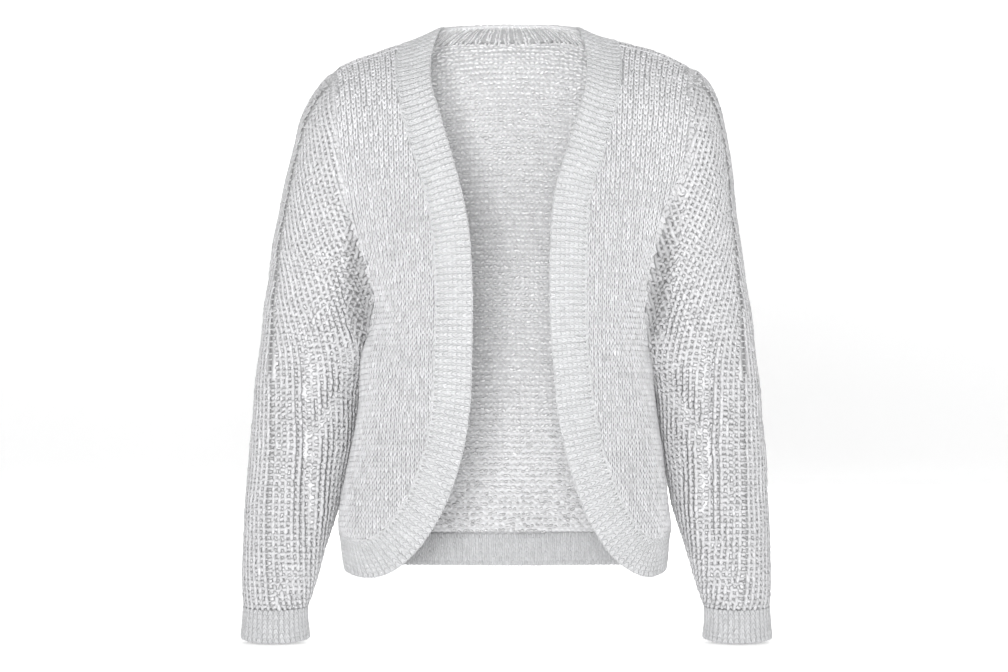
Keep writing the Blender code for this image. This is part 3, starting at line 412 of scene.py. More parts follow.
# ---------------- edges of the pieces, on the body's surface
def band_line(side, name, way, k):
    """A band's edge or seam as places (a, turn), worked out as an angle from the side and a row."""
    across = column(BANDS[side], BAND_COLUMNS, name + "_across")
    top = ridge(side, across)
    v = (top - column(BANDS[side], BAND_COLUMNS, name + "_height")) / (top - HEM_Z)
    turn = turn_of(np.maximum(v, 0.0))
    turn[0] = 0.0
    angle = np.arccos(limited(across / side_edge(side, row_of(turn))))
    angle[-1] = 0.0
    if way is not None:
        angle = smooth(way, angle, k)
        turn = smooth(way, turn, k)
    v = row_of(turn)
    return place_across(side, FRONT, side_edge(side, v) * np.cos(angle), v), turn


def band_places(side, k):
    """Places (a, turn) of the free edge and of the seam; k is 0 on the shoulder, 1 at the side seam."""
    steps = 0.0
    for name, part in (("edge", 0.65), ("seam", 0.35)):
        points = body_point(side, FRONT, *band_line(side, name, None, k))
        steps = steps + np.linalg.norm(np.diff(points, axis=0), axis=1) * part
    way = np.concatenate([[0.0], np.cumsum(steps)])
    way = way / way[-1]
    return band_line(side, "edge", way, k) + band_line(side, "seam", way, k)


def side_foot(side):
    """Row of the panels' lower end at the side seam."""
    return float(band_places(side, np.array([1.0]))[3][0])


def neck_places(k, part_of_band):
    """Places on the back of the neck band's edge (1) or seam (0); k from -1 to 1 over the shoulders."""
    swing = np.abs(k) * QUARTER
    back = NECK_SEAM_BACK * (1 - part_of_band) + NECK_EDGE_BACK * part_of_band
    y = back * np.cos(swing) ** 0.85
    found = np.zeros((2, len(k)))
    for side in (RIGHT, LEFT):
        edge, _, seam, _ = BANDS[side][0]
        across = (seam * (1 - part_of_band) + edge * part_of_band) * np.sin(swing)
        v = np.zeros_like(across)
        for _ in range(12):
            q = limited(across / body_width(side, BACK, v)) ** 2
            z = ridge(side, across) * (1 - v) + HEM_Z * v
            depth = look_up(DEPTH, DEPTH_COLUMNS, "height", "back", z)
            full = np.sqrt((1 - q) * (1 + SECTION_FULLNESS * q))
            reach = np.clip(y / (depth * full), 0.0, 0.999)
            v = ROUND_V * (1 - np.sqrt(1 - reach * reach))
        start = side_angle(side, BACK, v)
        a = (np.arccos(np.sqrt(q)) - start) / (QUARTER - start)
        found = np.where((k < 0) == (side == RIGHT), [a, turn_of(v)], found)
    return found


def hem_turn(side, a, which):
    """Row of the back hem's seam (0) or edge (1) at a; it meets the front band at the side seam."""
    beside = float(band_places(side, np.array([1.0]))[3 if which == 0 else 1][0])
    top = float(ridge(side, 0.0))
    behind = float(turn_of((top - HEM_MIDDLE[which]) / (top - HEM_Z)))
    return beside + (behind - beside) * np.sin(a * QUARTER) ** 2


# ---------------- sleeves and cuffs as tubes
def armhole_point(side, phi):
    """Edge of the armhole, phi 0 at the shoulder, through the front to pi under the arm and back."""
    turn = turn_of(underarm_v(side) * (1 - np.cos(phi)) / 2)
    front, back = (body_point(side, face, np.zeros_like(turn), turn) for face in (FRONT, BACK))
    return np.where((np.sin(phi) >= 0)[..., None], front, back)


def fold_depth(side, face, across, z):
    """How deep the sleeve's folds are at a point seen from the front or the back."""
    total = np.zeros_like(across)
    for numbers in FOLDS[side]:
        row = dict(zip(FOLD_COLUMNS, numbers))
        if row["face"] == face:
            along, off, length = beside_line(row, across, z)
            inner = limited(along)
            width = row["top_width"] * (1 - inner) + row["foot_width"] * inner
            past = (along - inner) * length
            ease = np.sin(limited(inner * 1.15) * QUARTER) ** 2
            total = total + row["depth"] * np.exp(-(off ** 2 + past ** 2) / (2 * width ** 2)) * ease
    return total


def chord(ring, out):
    """Distance from the middle and height on the line from a ring's inner to its outer point."""
    across = ring["inner"] + (ring["outer"] - ring["inner"]) * out
    return across, ring["inner_z"] + (ring["outer_z"] - ring["inner_z"]) * out


def tube_point(side, table, t, phi, folds):
    """Point of a sleeve or cuff: t counts the table's rows, phi goes round from the outside by the front."""
    rows = np.arange(len(table))
    ring = {name: smooth(rows, column(table, TUBE_COLUMNS, name), t) for name in TUBE_COLUMNS}
    out = (1 + np.cos(phi)) / 2
    swing = np.sin(phi)
    across, z = chord(ring, out)
    z = z - ring["dip"] * swing
    y = ring["centre_y"] - np.where(swing >= 0, ring["front"], ring["back"]) * swing
    hole = armhole_point(side, phi)
    line, line_z = chord(dict(zip(TUBE_COLUMNS, table[0])), out)
    left_over = 1 - ring["round"]
    across = across + left_over * (np.abs(hole[..., 0]) - line)
    z = z + left_over * (hole[..., 2] - line_z)
    y = ring["round"] * y + left_over * hole[..., 1]
    if folds:
        facing = 1 - (1 - np.abs(swing)) ** 2
        front, back = (fold_depth(side, face, across, z) for face in (FRONT, BACK))
        y = y + np.sign(swing) * facing * limited(t / 3.0) * np.where(swing >= 0, front, back)
    return np.stack([SIDE_SIGN[side] * across, y, z], axis=-1)


def tube_normal(side, table, t, phi, folds):
    d = 1e-3
    low, high = (np.clip(t + way, 0.0, len(table) - 1) for way in (-d, d))
    along = tube_point(side, table, high, phi, folds) - tube_point(side, table, low, phi, folds)
    around = tube_point(side, table, t, phi + d, folds) - tube_point(side, table, t, phi - d, folds)
    return unit(np.cross(along, around)) * -SIDE_SIGN[side]


# ---------------- relief shared by shells and stitches
def unevenness(points):
    """Slow ups and downs of hand, within a millimetre."""
    x, y, z = points[..., 0], points[..., 1], points[..., 2]
    return (
        0.38 * np.sin(x / 17.0 + 0.6 * np.sin(z / 31.0)) * np.sin(z / 23.0 + y / 37.0)
        + 0.30 * np.sin(z / 11.0 + 0.8 * np.sin(x / 19.0))
        + 0.22 * np.sin(x / 7.5 + y / 9.0) * np.sin(z / 13.0)
    )


def crease_depth(creases, face, across, z):
    total = np.zeros_like(across)
    for numbers in creases:
        row = dict(zip(CREASE_COLUMNS, numbers))
        along, off, _ = beside_line(row, across, z)
        off = off + 0.35 * row["width"] * np.sin(along * 5.0 + row["top"])
        ends = limited(np.sin(limited(along) * math.pi)) ** 0.8
        trough = row["depth"] * ends * np.exp(-(off ** 2) / (2 * row["width"] ** 2))
        total = total + np.where(face == row["face"], trough, 0.0)
    return total


def body_relief(side, face, a, turn, out=0.0):
    points = body_point(side, face, a, turn)
    normals = body_normal(side, face, a, turn)
    fade = limited(a / 0.10)
    depth = crease_depth(BODY_CREASES, face, points[..., 0], points[..., 2]) * fade
    depth = depth + unevenness(points) * fade
    depth = depth + PRESS_BODY * np.exp(-((points[..., 2] - PRESS_Z) / PRESS_REACH) ** 2 - (a / 0.1) ** 2)
    return points + normals * (depth + out)[..., None], normals


def sleeve_relief(side, t, phi, out=0.0):
    table = SLEEVES[side]
    points = tube_point(side, table, t, phi, True)
    normals = tube_normal(side, table, t, phi, True)
    fade = limited(t / 2.0) * limited(len(table) - 1 - t)
    face = np.where(np.sin(phi) >= 0, FRONT, BACK)
    swing = np.abs(np.sin(phi))
    depth = crease_depth(SLEEVE_CREASES, face, np.abs(points[..., 0]), points[..., 2]) * fade * swing
    depth = depth + unevenness(points) * fade
    press = np.exp(-((points[..., 2] - PRESS_Z) / PRESS_REACH) ** 2) * limited(-np.cos(phi)) ** 2
    depth = depth + PRESS_SLEEVE * press * limited(t / 0.4)
    return points + normals * (depth + out)[..., None], normals


# ---------------- meshes and nodes
def in_scene(name, data):
    made = bpy.data.objects.new(name, data)
    bpy.context.scene.collection.objects.link(made)
    return made


def placed(name, mesh, material):
    mesh.materials.clear()
    mesh.materials.append(material)
    made = in_scene(name, mesh)
    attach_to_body(made, "root")
    return made


def attach(mesh, name, values):
    """Gives every point of a mesh its own number or vector."""
    kind, field = ("FLOAT", "value") if values.ndim == 1 else ("FLOAT_VECTOR", "vector")
    layer = mesh.attributes.new(name, kind, "POINT")
    layer.data.foreach_set(field, values.astype(np.float32).reshape(-1))


def wall(name, outer, inner, closed, fabric, material, shade=None):
    """Closed shell between two sheets (rows, columns); fabric gives its wale and course numbers, shade each
    point's painted shade.
    """
    rows, columns = outer.shape[:2]
    wide = columns + 1 if closed else columns
    index = np.arange(rows * wide).reshape(rows, wide)
    point_of = (np.arange(rows)[:, None] * columns + np.arange(wide)[None] % columns).reshape(-1)
    low = rows * wide
    a, b, c, d = index[:-1, :-1], index[:-1, 1:], index[1:, 1:], index[1:, :-1]
    quads = [np.stack([a, b, c, d], -1).reshape(-1, 4), np.stack([d, c, b, a], -1).reshape(-1, 4) + low]
    rims = [(index[0], 1), (index[-1], -1)]
    if not closed:
        rims += [(index[:, 0], -1), (index[:, -1], 1)]
    for edge, sense in rims:
        rim = np.stack([edge[:-1], edge[:-1] + low, edge[1:] + low, edge[1:]], -1)
        quads.append(rim[:, ::sense])
    quads = np.concatenate(quads)
    point_of = np.concatenate([point_of, point_of + rows * columns])
    points = np.concatenate([outer.reshape(-1, 3), inner.reshape(-1, 3)]) * MM
    mesh = bpy.data.meshes.new(name)
    mesh.from_pydata(points.tolist(), [], point_of[quads].tolist())
    layer = mesh.uv_layers.new(name="fabric")
    if closed:
        fabric = np.concatenate([fabric, fabric[:, -1:] * 2 - fabric[:, -2:-1]], axis=1)
    both = np.concatenate([fabric.reshape(-1, 2)] * 2)
    layer.data.foreach_set("uv", both[quads.reshape(-1)].astype(np.float32).reshape(-1))
    # painted shade: each point's darkening, read by the ground's material
    if shade is not None:
        attach(mesh, "shade", np.concatenate([shade.reshape(-1)] * 2))
    work = bmesh.new()
    work.from_mesh(mesh)
    bmesh.ops.recalc_face_normals(work, faces=work.faces)
    work.to_mesh(mesh)
    work.free()
    mesh.polygons.foreach_set("use_smooth", np.ones(len(mesh.polygons), bool))
    mesh.update()
    return placed(name, mesh, material)


def node(tree, kind, inputs=None, **settings):
    """A node with its settings; an input holds a value or is linked to a socket or a node's first output."""
    made = tree.nodes.new(kind)
    for name, value in settings.items():
        setattr(made, name, value)
    for key, value in (inputs or {}).items():
        fill_socket(tree, made.inputs[key], value)
    return made


def fill_socket(tree, socket, value):
    if isinstance(value, bpy.types.Node):
        value = value.outputs[0]
    if isinstance(value, bpy.types.NodeSocket):
        tree.links.new(value, socket)
    elif socket.type == "RGBA":
        socket.default_value = (*value, 1.0)
    else:
        socket.default_value = value


def worked(tree, kind, a, b=0.0):
    return node(tree, "ShaderNodeMath", {0: a, 1: b}, operation=kind)


# ---------------- stitches by Geometry Nodes
def stitch_tree():
    """Sets a plump grain of yarn on every point, turned and sized by the point's own attributes."""
    tree = bpy.data.node_groups.new("yarn_grains", "GeometryNodeTree")
    face = tree.interface
    face.new_socket("Geometry", in_out="INPUT", socket_type="NodeSocketGeometry")
    names = {"Sides": "Int", "Size play": "Float", "Turn play": "Float", "Seed": "Int", "Yarn": "Material"}
    sockets = {
        name: face.new_socket(name, in_out="INPUT", socket_type="NodeSocket" + kind)
        for name, kind in names.items()
    }
    face.new_socket("Geometry", in_out="OUTPUT", socket_type="NodeSocketGeometry")
    given = node(tree, "NodeGroupInput").outputs

    def attribute(name):
        named = node(tree, "GeometryNodeInputNamedAttribute", {"Name": name}, data_type="FLOAT_VECTOR")
        return named.outputs["Attribute"]

    def both_ways(name):
        return worked(tree, "MULTIPLY", given[name], -1.0), given[name]

    grain = node(tree, "GeometryNodeMeshUVSphere", {"Rings": 3, "Radius": 0.5, "Segments": given["Sides"]})
    axes = {"Primary Axis": attribute("along"), "Secondary Axis": attribute("up")}
    axes = node(tree, "FunctionNodeAxesToRotation", axes, primary_axis="Z", secondary_axis="X")
    low, high = (
        node(tree, "ShaderNodeCombineXYZ", {axis: way for axis in "XYZ"}) for way in both_ways("Turn play")
    )
    turn = {0: low, 1: high, "Seed": given["Seed"]}
    turn = node(tree, "FunctionNodeRandomValue", turn, data_type="FLOAT_VECTOR")
    euler = node(tree, "FunctionNodeEulerToRotation", {0: turn})
    turned = node(tree, "FunctionNodeRotateRotation", {0: axes, 1: euler}, rotation_space="LOCAL")
    low, high = both_ways("Size play")
    play = {2: low, 3: high, "Seed": worked(tree, "ADD", given["Seed"], 31.0)}
    play = node(tree, "FunctionNodeRandomValue", play, data_type="FLOAT").outputs[1]
    size = {0: attribute("size"), "Scale": worked(tree, "ADD", play, 1.0)}
    size = node(tree, "ShaderNodeVectorMath", size, operation="SCALE")
    place = {"Points": given["Geometry"], "Instance": grain, "Rotation": turned, "Scale": size}
    real = node(tree, "GeometryNodeRealizeInstances", {0: node(tree, "GeometryNodeInstanceOnPoints", place)})
    soft = node(tree, "GeometryNodeSetShadeSmooth", {0: real})
    paint = node(tree, "GeometryNodeSetMaterial", {0: soft, "Material": given["Yarn"]})
    node(tree, "NodeGroupOutput", {0: paint})
    return tree, {name: socket.identifier for name, socket in sockets.items()}


TREE, INPUTS = stitch_tree()


def grains(name, cells, material, sides=4, size_play=0.06, turn_play=0.06):
    """One mesh of yarn grains; cells is a list of (centres, along, up, size, tone)."""
    centres, along, up, size, tone = (np.concatenate(part) for part in zip(*cells))
    mesh = bpy.data.meshes.new(name + "_points")
    mesh.from_pydata((centres * MM).tolist(), [], [])
    vectors = {"along": unit(along), "up": unit(up), "size": size * MM}
    for key, values in (*vectors.items(), ("tone", tone)):
        attach(mesh, key, values)
    maker = in_scene(name + "_maker", mesh)
    modifier = maker.modifiers.new("grains", "NODES")
    modifier.node_group = TREE
    settings = {"Sides": sides, "Size play": size_play, "Turn play": turn_play}
    settings.update({"Seed": SEED, "Yarn": material})
    for key, value in settings.items():
        modifier[INPUTS[key]] = value
    graph = bpy.context.evaluated_depsgraph_get()
    graph.update()
    made = bpy.data.meshes.new_from_object(maker.evaluated_get(graph))
    made.name = name
    for key in vectors:
        if key in made.attributes:
            made.attributes.remove(made.attributes[key])
    bpy.data.objects.remove(maker)
    bpy.data.meshes.remove(mesh)
    return placed(name, made, material)


def tones(count, offset):
    return np.random.default_rng(SEED + offset).normal(0.0, 1.0, count)


def stretched(count, *sizes):
    """Single numbers or rows of them, each as a column of that many rows."""
    return (np.broadcast_to(size, count)[:, None] for size in sizes)


def vees(centres, along, normal, wale, course, thick, lift, fill, lean, offset, apart=0.2):
    """Two leaning legs for every knit stitch, fill wide and apart from its middle, as shares of the wale."""
    across = unit(np.cross(along, normal))
    along = unit(np.cross(normal, across))
    count = len(centres)
    wale, course, thick, fill, lean = stretched(count, wale, course, thick, fill, lean)
    shade = tones(count, offset)
    size = np.concatenate([thick, wale * fill, course * LEG_REACH], axis=1)
    made = []
    for sense in (-1, 1):
        way = along * np.cos(lean) + across * sense * np.sin(lean)
        way = unit(way - normal * LEG_TILT)
        stray = across * wale * tones(count, offset + 400 + sense)[:, None] * STRAY
        middle = centres + across * sense * wale * apart + normal * lift + stray
        tone = shade + tones(count, offset + 1 + sense) * 0.4
        made.append((middle, way, normal + way * LEG_TILT, size, tone))
    return made


def purls(centres, along, normal, wale, course, thick, lift, offset):
    """One cross bump for every stitch seen from its wrong side; normal points to the viewer."""
    across = unit(np.cross(along, normal))
    count = len(centres)
    wale, course, thick = stretched(count, wale, course, thick)
    rng = np.random.default_rng(SEED + offset)
    size = np.concatenate([thick, course * 0.7, wale * 0.98], axis=1) * rng.uniform(0.8, 1.2, (count, 3))
    bow = rng.normal(0.0, 0.34, (count, 1))
    stray = across * rng.normal(0.0, 0.8, (count, 1)) + along * rng.normal(0.0, 0.7, (count, 1))
    middle = centres + normal * (lift + rng.normal(0.0, 0.22, (count, 1))) + stray
    return middle, across + along * bow, normal, size, tones(count, offset)


def mesh_stitches(centres, along, normal, toward, offset):
    """Open stitches: a cord up the wale's side next to the body, and a bar over to it that leaves a hole."""
    wale, course, thick, lift = SLEEVE_WALE, SLEEVE_COURSE, SLEEVE_YARN, SLEEVE_LIFT
    across = unit(np.cross(along, normal))
    across = across * np.where(across[:, :1] * toward < 0, -1.0, 1.0)
    count = len(centres)
    rng = np.random.default_rng(SEED + offset)
    middle = centres + across * wale * (0.5 + rng.normal(0.0, 0.03, (count, 1))) + normal * lift
    way = unit(along + across * rng.normal(0.0, 0.10, (count, 1)) - normal * LEG_TILT)
    size = np.array([thick, wale * 1.1, course * 1.9]) * rng.uniform(0.9, 1.1, (count, 3))
    cord = (middle, way, normal + along * LEG_TILT, size, tones(count, offset))
    middle = centres + normal * (lift - 0.1) + along * rng.normal(0.0, 0.7, (count, 1))
    size = np.array([thick * 0.9, course * 1.1, wale * 1.12]) * rng.uniform(0.85, 1.15, (count, 3))
    way = unit(across + along * (0.12 + rng.normal(0.0, 0.16, (count, 1))))
    return cord, (middle, way, normal, size, tones(count, offset + 3) - 0.8)


def chain(line, step, width, thick, lift, offset, fill=0.6, lean=0.14, tone=0.0):
    """A row of stitches along a line (points, normals), as the linked edge of a band."""
    points, normals = line
    length = way_along(points)
    count = int(length[-1] / step)
    at = (np.arange(count) + 0.5) * length[-1] / count
    along = unit(between(at, length, np.gradient(points, axis=0)))
    normal = unit(between(at, length, normals))
    centre = between(at, length, points)
    made = vees(centre, along, normal, width, length[-1] / count, thick, lift, fill, lean, offset)
    return [(*legs[:4], legs[4] + tone) for legs in made]


def spaced(points, rows, valid, step):
    """A wale's rows of numbers, taken every step along it."""
    length = way_along(points)
    at = (np.arange(int(length[-1] / step)) + 0.5) * step
    keep = np.interp(at, length, valid.astype(float)) > 0.5
    return between(at[keep], length, rows)


# ---------------- body pieces
def inside(polygon, x, y):
    """Even-odd test of many points against a polygon."""
    result = np.zeros(len(x), bool)
    for (ax, ay), (bx, by) in zip(polygon, np.roll(polygon, -1, axis=0)):
        crossing = (ay > y) != (by > y)
        result ^= crossing & (x < (bx - ax) * (y - ay) / (by - ay + 1e-12) + ax)
    return result


def fanned(way, turn):
    """Wales lean out towards the shoulder tip above the underarm."""
    lean = limited(1 - turn / WALE_FAN_TURN)
    return way * (1 + WALE_FAN * lean ** 2 * way / A_LENGTH)


def body_stitches(side, face, polygon, gauge=1.0):
    """Stitch places of a panel, by wales counted from the middle: a, turn, wale, direction of the wale."""
    turns = np.linspace(float(turn_of(1.0)), 0.0, 260)
    a = np.linspace(1.0, 0.0, 300)
    arc = np.array([way_along(body_point(side, face, a, np.full_like(a, turn))) for turn in turns])
    found = []
    for j in range(60):
        way = fanned((j + 0.5) * BODY_WALE * gauge, turns)
        wale = fanned((j + 1.0) * BODY_WALE * gauge, turns) - fanned(j * BODY_WALE * gauge, turns)
        at = np.array([np.interp(*numbers, a) for numbers in zip(way, arc)])
        points = body_point(side, face, at, turns)
        here = inside(polygon, at * A_LENGTH, turns * TURN_LENGTH) & (way < arc[:, -1] - 0.15 * wale)
        if here.any():
            rows = np.column_stack([at, turns, wale, np.gradient(points, axis=0)])
            found.append(spaced(points, rows, here, BODY_COURSE * gauge))
    return np.concatenate(found)


def right_side_cells(side, face, places, offset):
    """Knit stitches on a panel's outer face, fuller near the shoulder."""
    a, turn, wale = places.T[:3]
    centre, normal = body_relief(side, face, a, turn)
    fill = 0.40 + 0.26 * limited(1.3 - turn / 1.5)
    along = unit(places[:, 3:])
    return vees(centre, along, normal, wale, BODY_COURSE, PANEL_YARN, PANEL_LIFT, fill, 0.2, offset, 0.22)


def wrong_side_cells(side, face, places, offset):
    """Cross bumps on a panel's inner face, with painted shade darkening them towards the hem."""
    a, turn, wale = places.T[:3]
    centre, normal = body_relief(side, face, a, turn, -BODY_SINK - SHELL)
    along = unit(places[:, 3:])
    *bumps, tone = purls(centre, along, -normal, wale, BODY_COURSE, PURL_YARN, PURL_LIFT, offset)
    # painted shade: the inner face is coloured darker from below the underarm towards the hem, where less
    # light reaches inside
    low = limited((-330.0 - centre[:, 2]) / 150.0)
    return [(*bumps, tone - 4.2 * low)]


def front_polygon(side):
    """Outline of the front's stitches, in the panel's own distances."""
    seam_a, seam_turn = band_places(side, np.linspace(0.0, 1.0, 160))[2:]
    x, y = seam_a * A_LENGTH, seam_turn * TURN_LENGTH
    dx, dy = np.gradient(x), np.gradient(y)
    size = np.hypot(dx, dy)
    x, y = x - dy / size * BAND_MARGIN, y - np.abs(dx / size) * BAND_MARGIN
    curve = np.stack([x, y], axis=-1)
    top = [[SIDE_MARGIN, TOP_MARGIN], [x[0], TOP_MARGIN]]
    return np.concatenate([top, curve[1:], [[SIDE_MARGIN, y[-1]]]])


def back_polygon(side):
    neck_a, neck_turn = neck_places(np.linspace(1.0, 0.0, 60) * SIDE_SIGN[side], 0.0)
    a = np.linspace(1.05, 0.0, 60)
    foot = hem_turn(side, np.minimum(a, 1.0), 0)
    top = np.stack([neck_a * A_LENGTH, neck_turn * TURN_LENGTH + HEM_MARGIN], axis=-1)
    base = np.stack([a * A_LENGTH, foot * TURN_LENGTH - HEM_MARGIN], axis=-1)
    return np.concatenate([[[SIDE_MARGIN, TOP_MARGIN]], top, [[1.05 * A_LENGTH, top[-1, 1]]], base])


def coons(left, right, top, foot):
    """Grid of (a, turn) places inside four edges; left and right run down, top and foot run across."""
    r = np.linspace(0.0, 1.0, len(left))[:, None, None]
    s = np.linspace(0.0, 1.0, len(top))[None, :, None]
    sides = (1 - s) * left[:, None] + s * right[:, None]
    ends = (1 - r) * top[None] + r * foot[None]
    corners = (
        (1 - s) * (1 - r) * top[0] + s * (1 - r) * top[-1]
        + (1 - s) * r * foot[0] + s * r * foot[-1]
    )
    return sides + ends - corners


def front_shell(side, material):
    steps, columns = 1200, 34
    rows = np.linspace(0.0, 1.0, 80) * side_foot(side)
    seam = np.stack(band_places(side, np.linspace(0.0, 1.0, steps + 1))[2:], axis=-1)
    corner = int(round(CORNER_K * steps))
    at = np.arange(steps + 1.0)
    picks = np.interp(rows * seam[corner, 1] / rows[-1], seam[:corner + 1, 1], at[:corner + 1])
    left = np.stack([np.zeros_like(rows), rows], axis=-1)
    top = np.stack([np.linspace(0.0, seam[0, 0], columns), np.zeros(columns)], axis=-1)
    base = between(np.linspace(steps, corner, columns), at, seam)
    places = coons(left, between(picks, at, seam), top, base)
    a, turn = places[..., 0], places[..., 1]
    outer, normal = body_relief(side, FRONT, a, turn, -BODY_SINK)
    fabric = np.stack([a * A_LENGTH / BODY_WALE, turn * TURN_LENGTH / BODY_COURSE], axis=-1)
    name = SIDE_NAME[side] + "_front_ground"
    return wall(name, outer, outer - normal * SHELL, False, fabric, material)


def back_shell(material):
    halves = []
    rows = np.linspace(0.0, 1.0, 80)[:, None]
    for side in (RIGHT, LEFT):
        neck_a, neck_turn = neck_places(np.linspace(1.0, 0.0, 31) * SIDE_SIGN[side], 0.0)
        top_a = np.concatenate([np.linspace(0.0, neck_a[0], 13)[:-1], neck_a])
        top_turn = np.concatenate([np.zeros(12), neck_turn])
        foot_a = np.linspace(0.0, 1.0, len(top_a))
        a = foot_a + (top_a - foot_a) * (1 - rows) ** 3
        turn = top_turn + (hem_turn(side, foot_a, 0) - top_turn) * rows
        wales = SIDE_SIGN[side] * (1 - a) * A_LENGTH / BODY_WALE
        fabric = np.stack([wales, turn * TURN_LENGTH / BODY_COURSE], axis=-1)
        halves.append((*body_relief(side, BACK, a, turn, -BODY_SINK), fabric))
    outer, normal, fabric = (np.concatenate([r, l[:, -2::-1]], axis=1) for r, l in zip(*halves))
    return wall("back_ground", outer, outer - normal * SHELL, False, fabric, material)


# ---------------- sleeves
def sleeve_sections(side):
    """Level sections of a sleeve from the cuff up: height, angles, rows t, way round from the outer fold."""
    table = SLEEVES[side]
    rows = np.linspace(0.0, len(table) - 1, AROUND)
    phi = np.linspace(-math.pi, math.pi, AROUND + 1)
    heights = tube_point(side, table, *np.meshgrid(rows, phi, indexing="ij"), False)[..., 2]
    levels = np.arange(heights.min(), heights.max() - TIP_CLEAR, LEVEL_STEP)
    rising = np.maximum.accumulate(heights[::-1], axis=0)
    t = np.stack([np.interp(levels, heights_at, rows[::-1]) for heights_at in rising.T], axis=-1)
    there = levels[:, None] <= heights[0][None]
    points = tube_point(side, table, t, np.broadcast_to(phi, t.shape), True)
    step = np.linalg.norm(np.diff(points, axis=1), axis=-1) * (there[:, 1:] & there[:, :-1])
    arc = np.concatenate([np.zeros((len(levels), 1)), np.cumsum(step, axis=1)], axis=1)
    return levels, phi, t, arc - arc[:, AROUND // 2][:, None]


def slant(levels, face):
    """How far the wales have swung over from the overarm seam at each height."""
    deep = np.maximum(levels + SLANT_FOOT, 0.0)
    full = SLANT_FOOT - SLANT_EASE
    eased = np.where(deep < full, deep * deep / (2 * full), deep - full / 2)
    crown = np.maximum(levels + CROWN_HEIGHT, 0.0)
    swing = WALE_SLANT * eased + CROWN_SLANT * crown ** 2 / (2 * CROWN_HEIGHT)
    return swing * (1.0 if face < 0 else BACK_SLANT)


def overarm(levels):
    """Way of the overarm seam in front of the outer fold."""
    return OVERARM_SHIFT + OVERARM_DRIFT * limited((OVERARM_DRIFT_TOP - levels) / OVERARM_DRIFT_WAY)


def overarm_phi(levels, phi, arc):
    return np.array([np.interp(way, way_round, phi) for way, way_round in zip(overarm(levels), arc)])


def fold_edge(side, z):
    return look_up(FOLD_EDGE, FOLD_EDGE_COLUMNS, "height", SIDE_NAME[side], z)


def under_fold(side, points):
    """Whether points lie in the fold under the arm, where the wales run the other way."""
    z = points[..., 2]
    return (np.abs(points[..., 0]) < fold_edge(side, z)) & (z < FOLD_EDGE_TOP[side]) & (z > FOLD_EDGE_FOOT)


def in_fold(side, points):
    """0 outside the fold under the arm, 1 deep in it; it weights the painted shade there."""
    z = points[..., 2]
    deep = limited((fold_edge(side, z) + 2.0 - np.abs(points[..., 0])) / 12.0)
    return deep * limited((-130.0 - z) / 70.0) * limited((z + 345.0) / 30.0)


def wales_of_sleeve(side, sections, face, swung):
    """Stitch places of the wales on one face, in the fold under the arm or outside it."""
    levels, phi, t, arc = sections
    sense = -face
    way = (np.arange(64) + 0.5)[None] * SLEEVE_WALE + OVERARM_GAP
    if swung:
        way = way - slant(levels, face)[:, None]
    else:
        way = way + FOLD_SLANT * (levels[:, None] + 200.0)
    signed = overarm(levels)[:, None] + sense * way
    limit = arc[:, -1] if sense > 0 else -arc[:, 0]
    ok = way > 0.45 * SLEEVE_WALE + OVERARM_GAP
    ok = ok & (sense * signed < limit[:, None] - 0.12 * SLEEVE_WALE)
    at_phi = np.stack([np.interp(*numbers, phi) for numbers in zip(signed, arc)])
    at_t = np.stack([np.interp(angles, phi, rows) for angles, rows in zip(at_phi, t)])
    points = tube_point(side, SLEEVES[side], at_t, at_phi, True)
    ok = ok & (under_fold(side, points) != swung) & (at_t > SEAM_CLEAR)
    leap = np.linalg.norm(np.diff(points, axis=0), axis=-1) > LEAP
    ok[1:] &= ~leap
    ok[:-1] &= ~leap
    rows = np.concatenate([at_t[..., None], at_phi[..., None], np.gradient(points, axis=0)], axis=-1)
    kept = [j for j in range(way.shape[1]) if ok[:, j].any()]
    return [spaced(points[:, j], rows[:, j], ok[:, j], SLEEVE_COURSE) for j in kept]


def sleeve_mesh(side, sections):
    """The open knit, closer over the shoulder tip, with painted shade darkening its stitches in the fold
    under the arm.
    """
    places = []
    for face in (FRONT, BACK):
        for swung in (True, False):
            places += wales_of_sleeve(side, sections, face, swung)
    places = np.concatenate(places)
    centre, normal = sleeve_relief(side, places[:, 0], places[:, 1])
    deep = in_fold(side, centre)
    crown = limited((centre[:, 2] - CROWN_Z) / CROWN_WAY)
    cells = []
    parts = mesh_stitches(centre, unit(places[:, 2:]), normal, -SIDE_SIGN[side], 10 + side)
    for (middle, way, up, size, tone), shorter in zip(parts, (0.45, 0.0)):
        size = size * (1 + np.outer(deep, (0.1, 0.0, 0.1))) * (1 - np.outer(crown, (0.0, 0.0, shorter)))
        # painted shade: stitches in the fold under the arm are coloured darker
        cells.append((middle + normal * deep[:, None] * 0.1, way, up, size, tone - FOLD_PAINTED_SHADE_STEPS * deep))
    return cells


# Rows of stitches along the armhole: row t, width, lean, points left out at the shoulder tip
ARMHOLE_ROWS = ((0.03, 3.6, 0.15, 4), (0.14, 6.4, 0.5, 9), (0.30, 6.4, 0.5, 9))


def armhole_rows(side):
    cells = []
    for row, (t, width, lean, cut) in enumerate(ARMHOLE_ROWS):
        phi = np.linspace(0.0, ROUND, 400)[cut:-cut]
        line = sleeve_relief(side, np.full_like(phi, t), phi)
        # painted shade: the armhole rows are coloured darker, as their close stitches face the light without
        # the shade of the open knit
        cells += chain(line, step=6.0, width=width, thick=1.5, lift=-1.0 - 0.1 * row,
                       offset=70 + 3 * side + row, fill=0.8, lean=lean, tone=-1.2)
    return cells


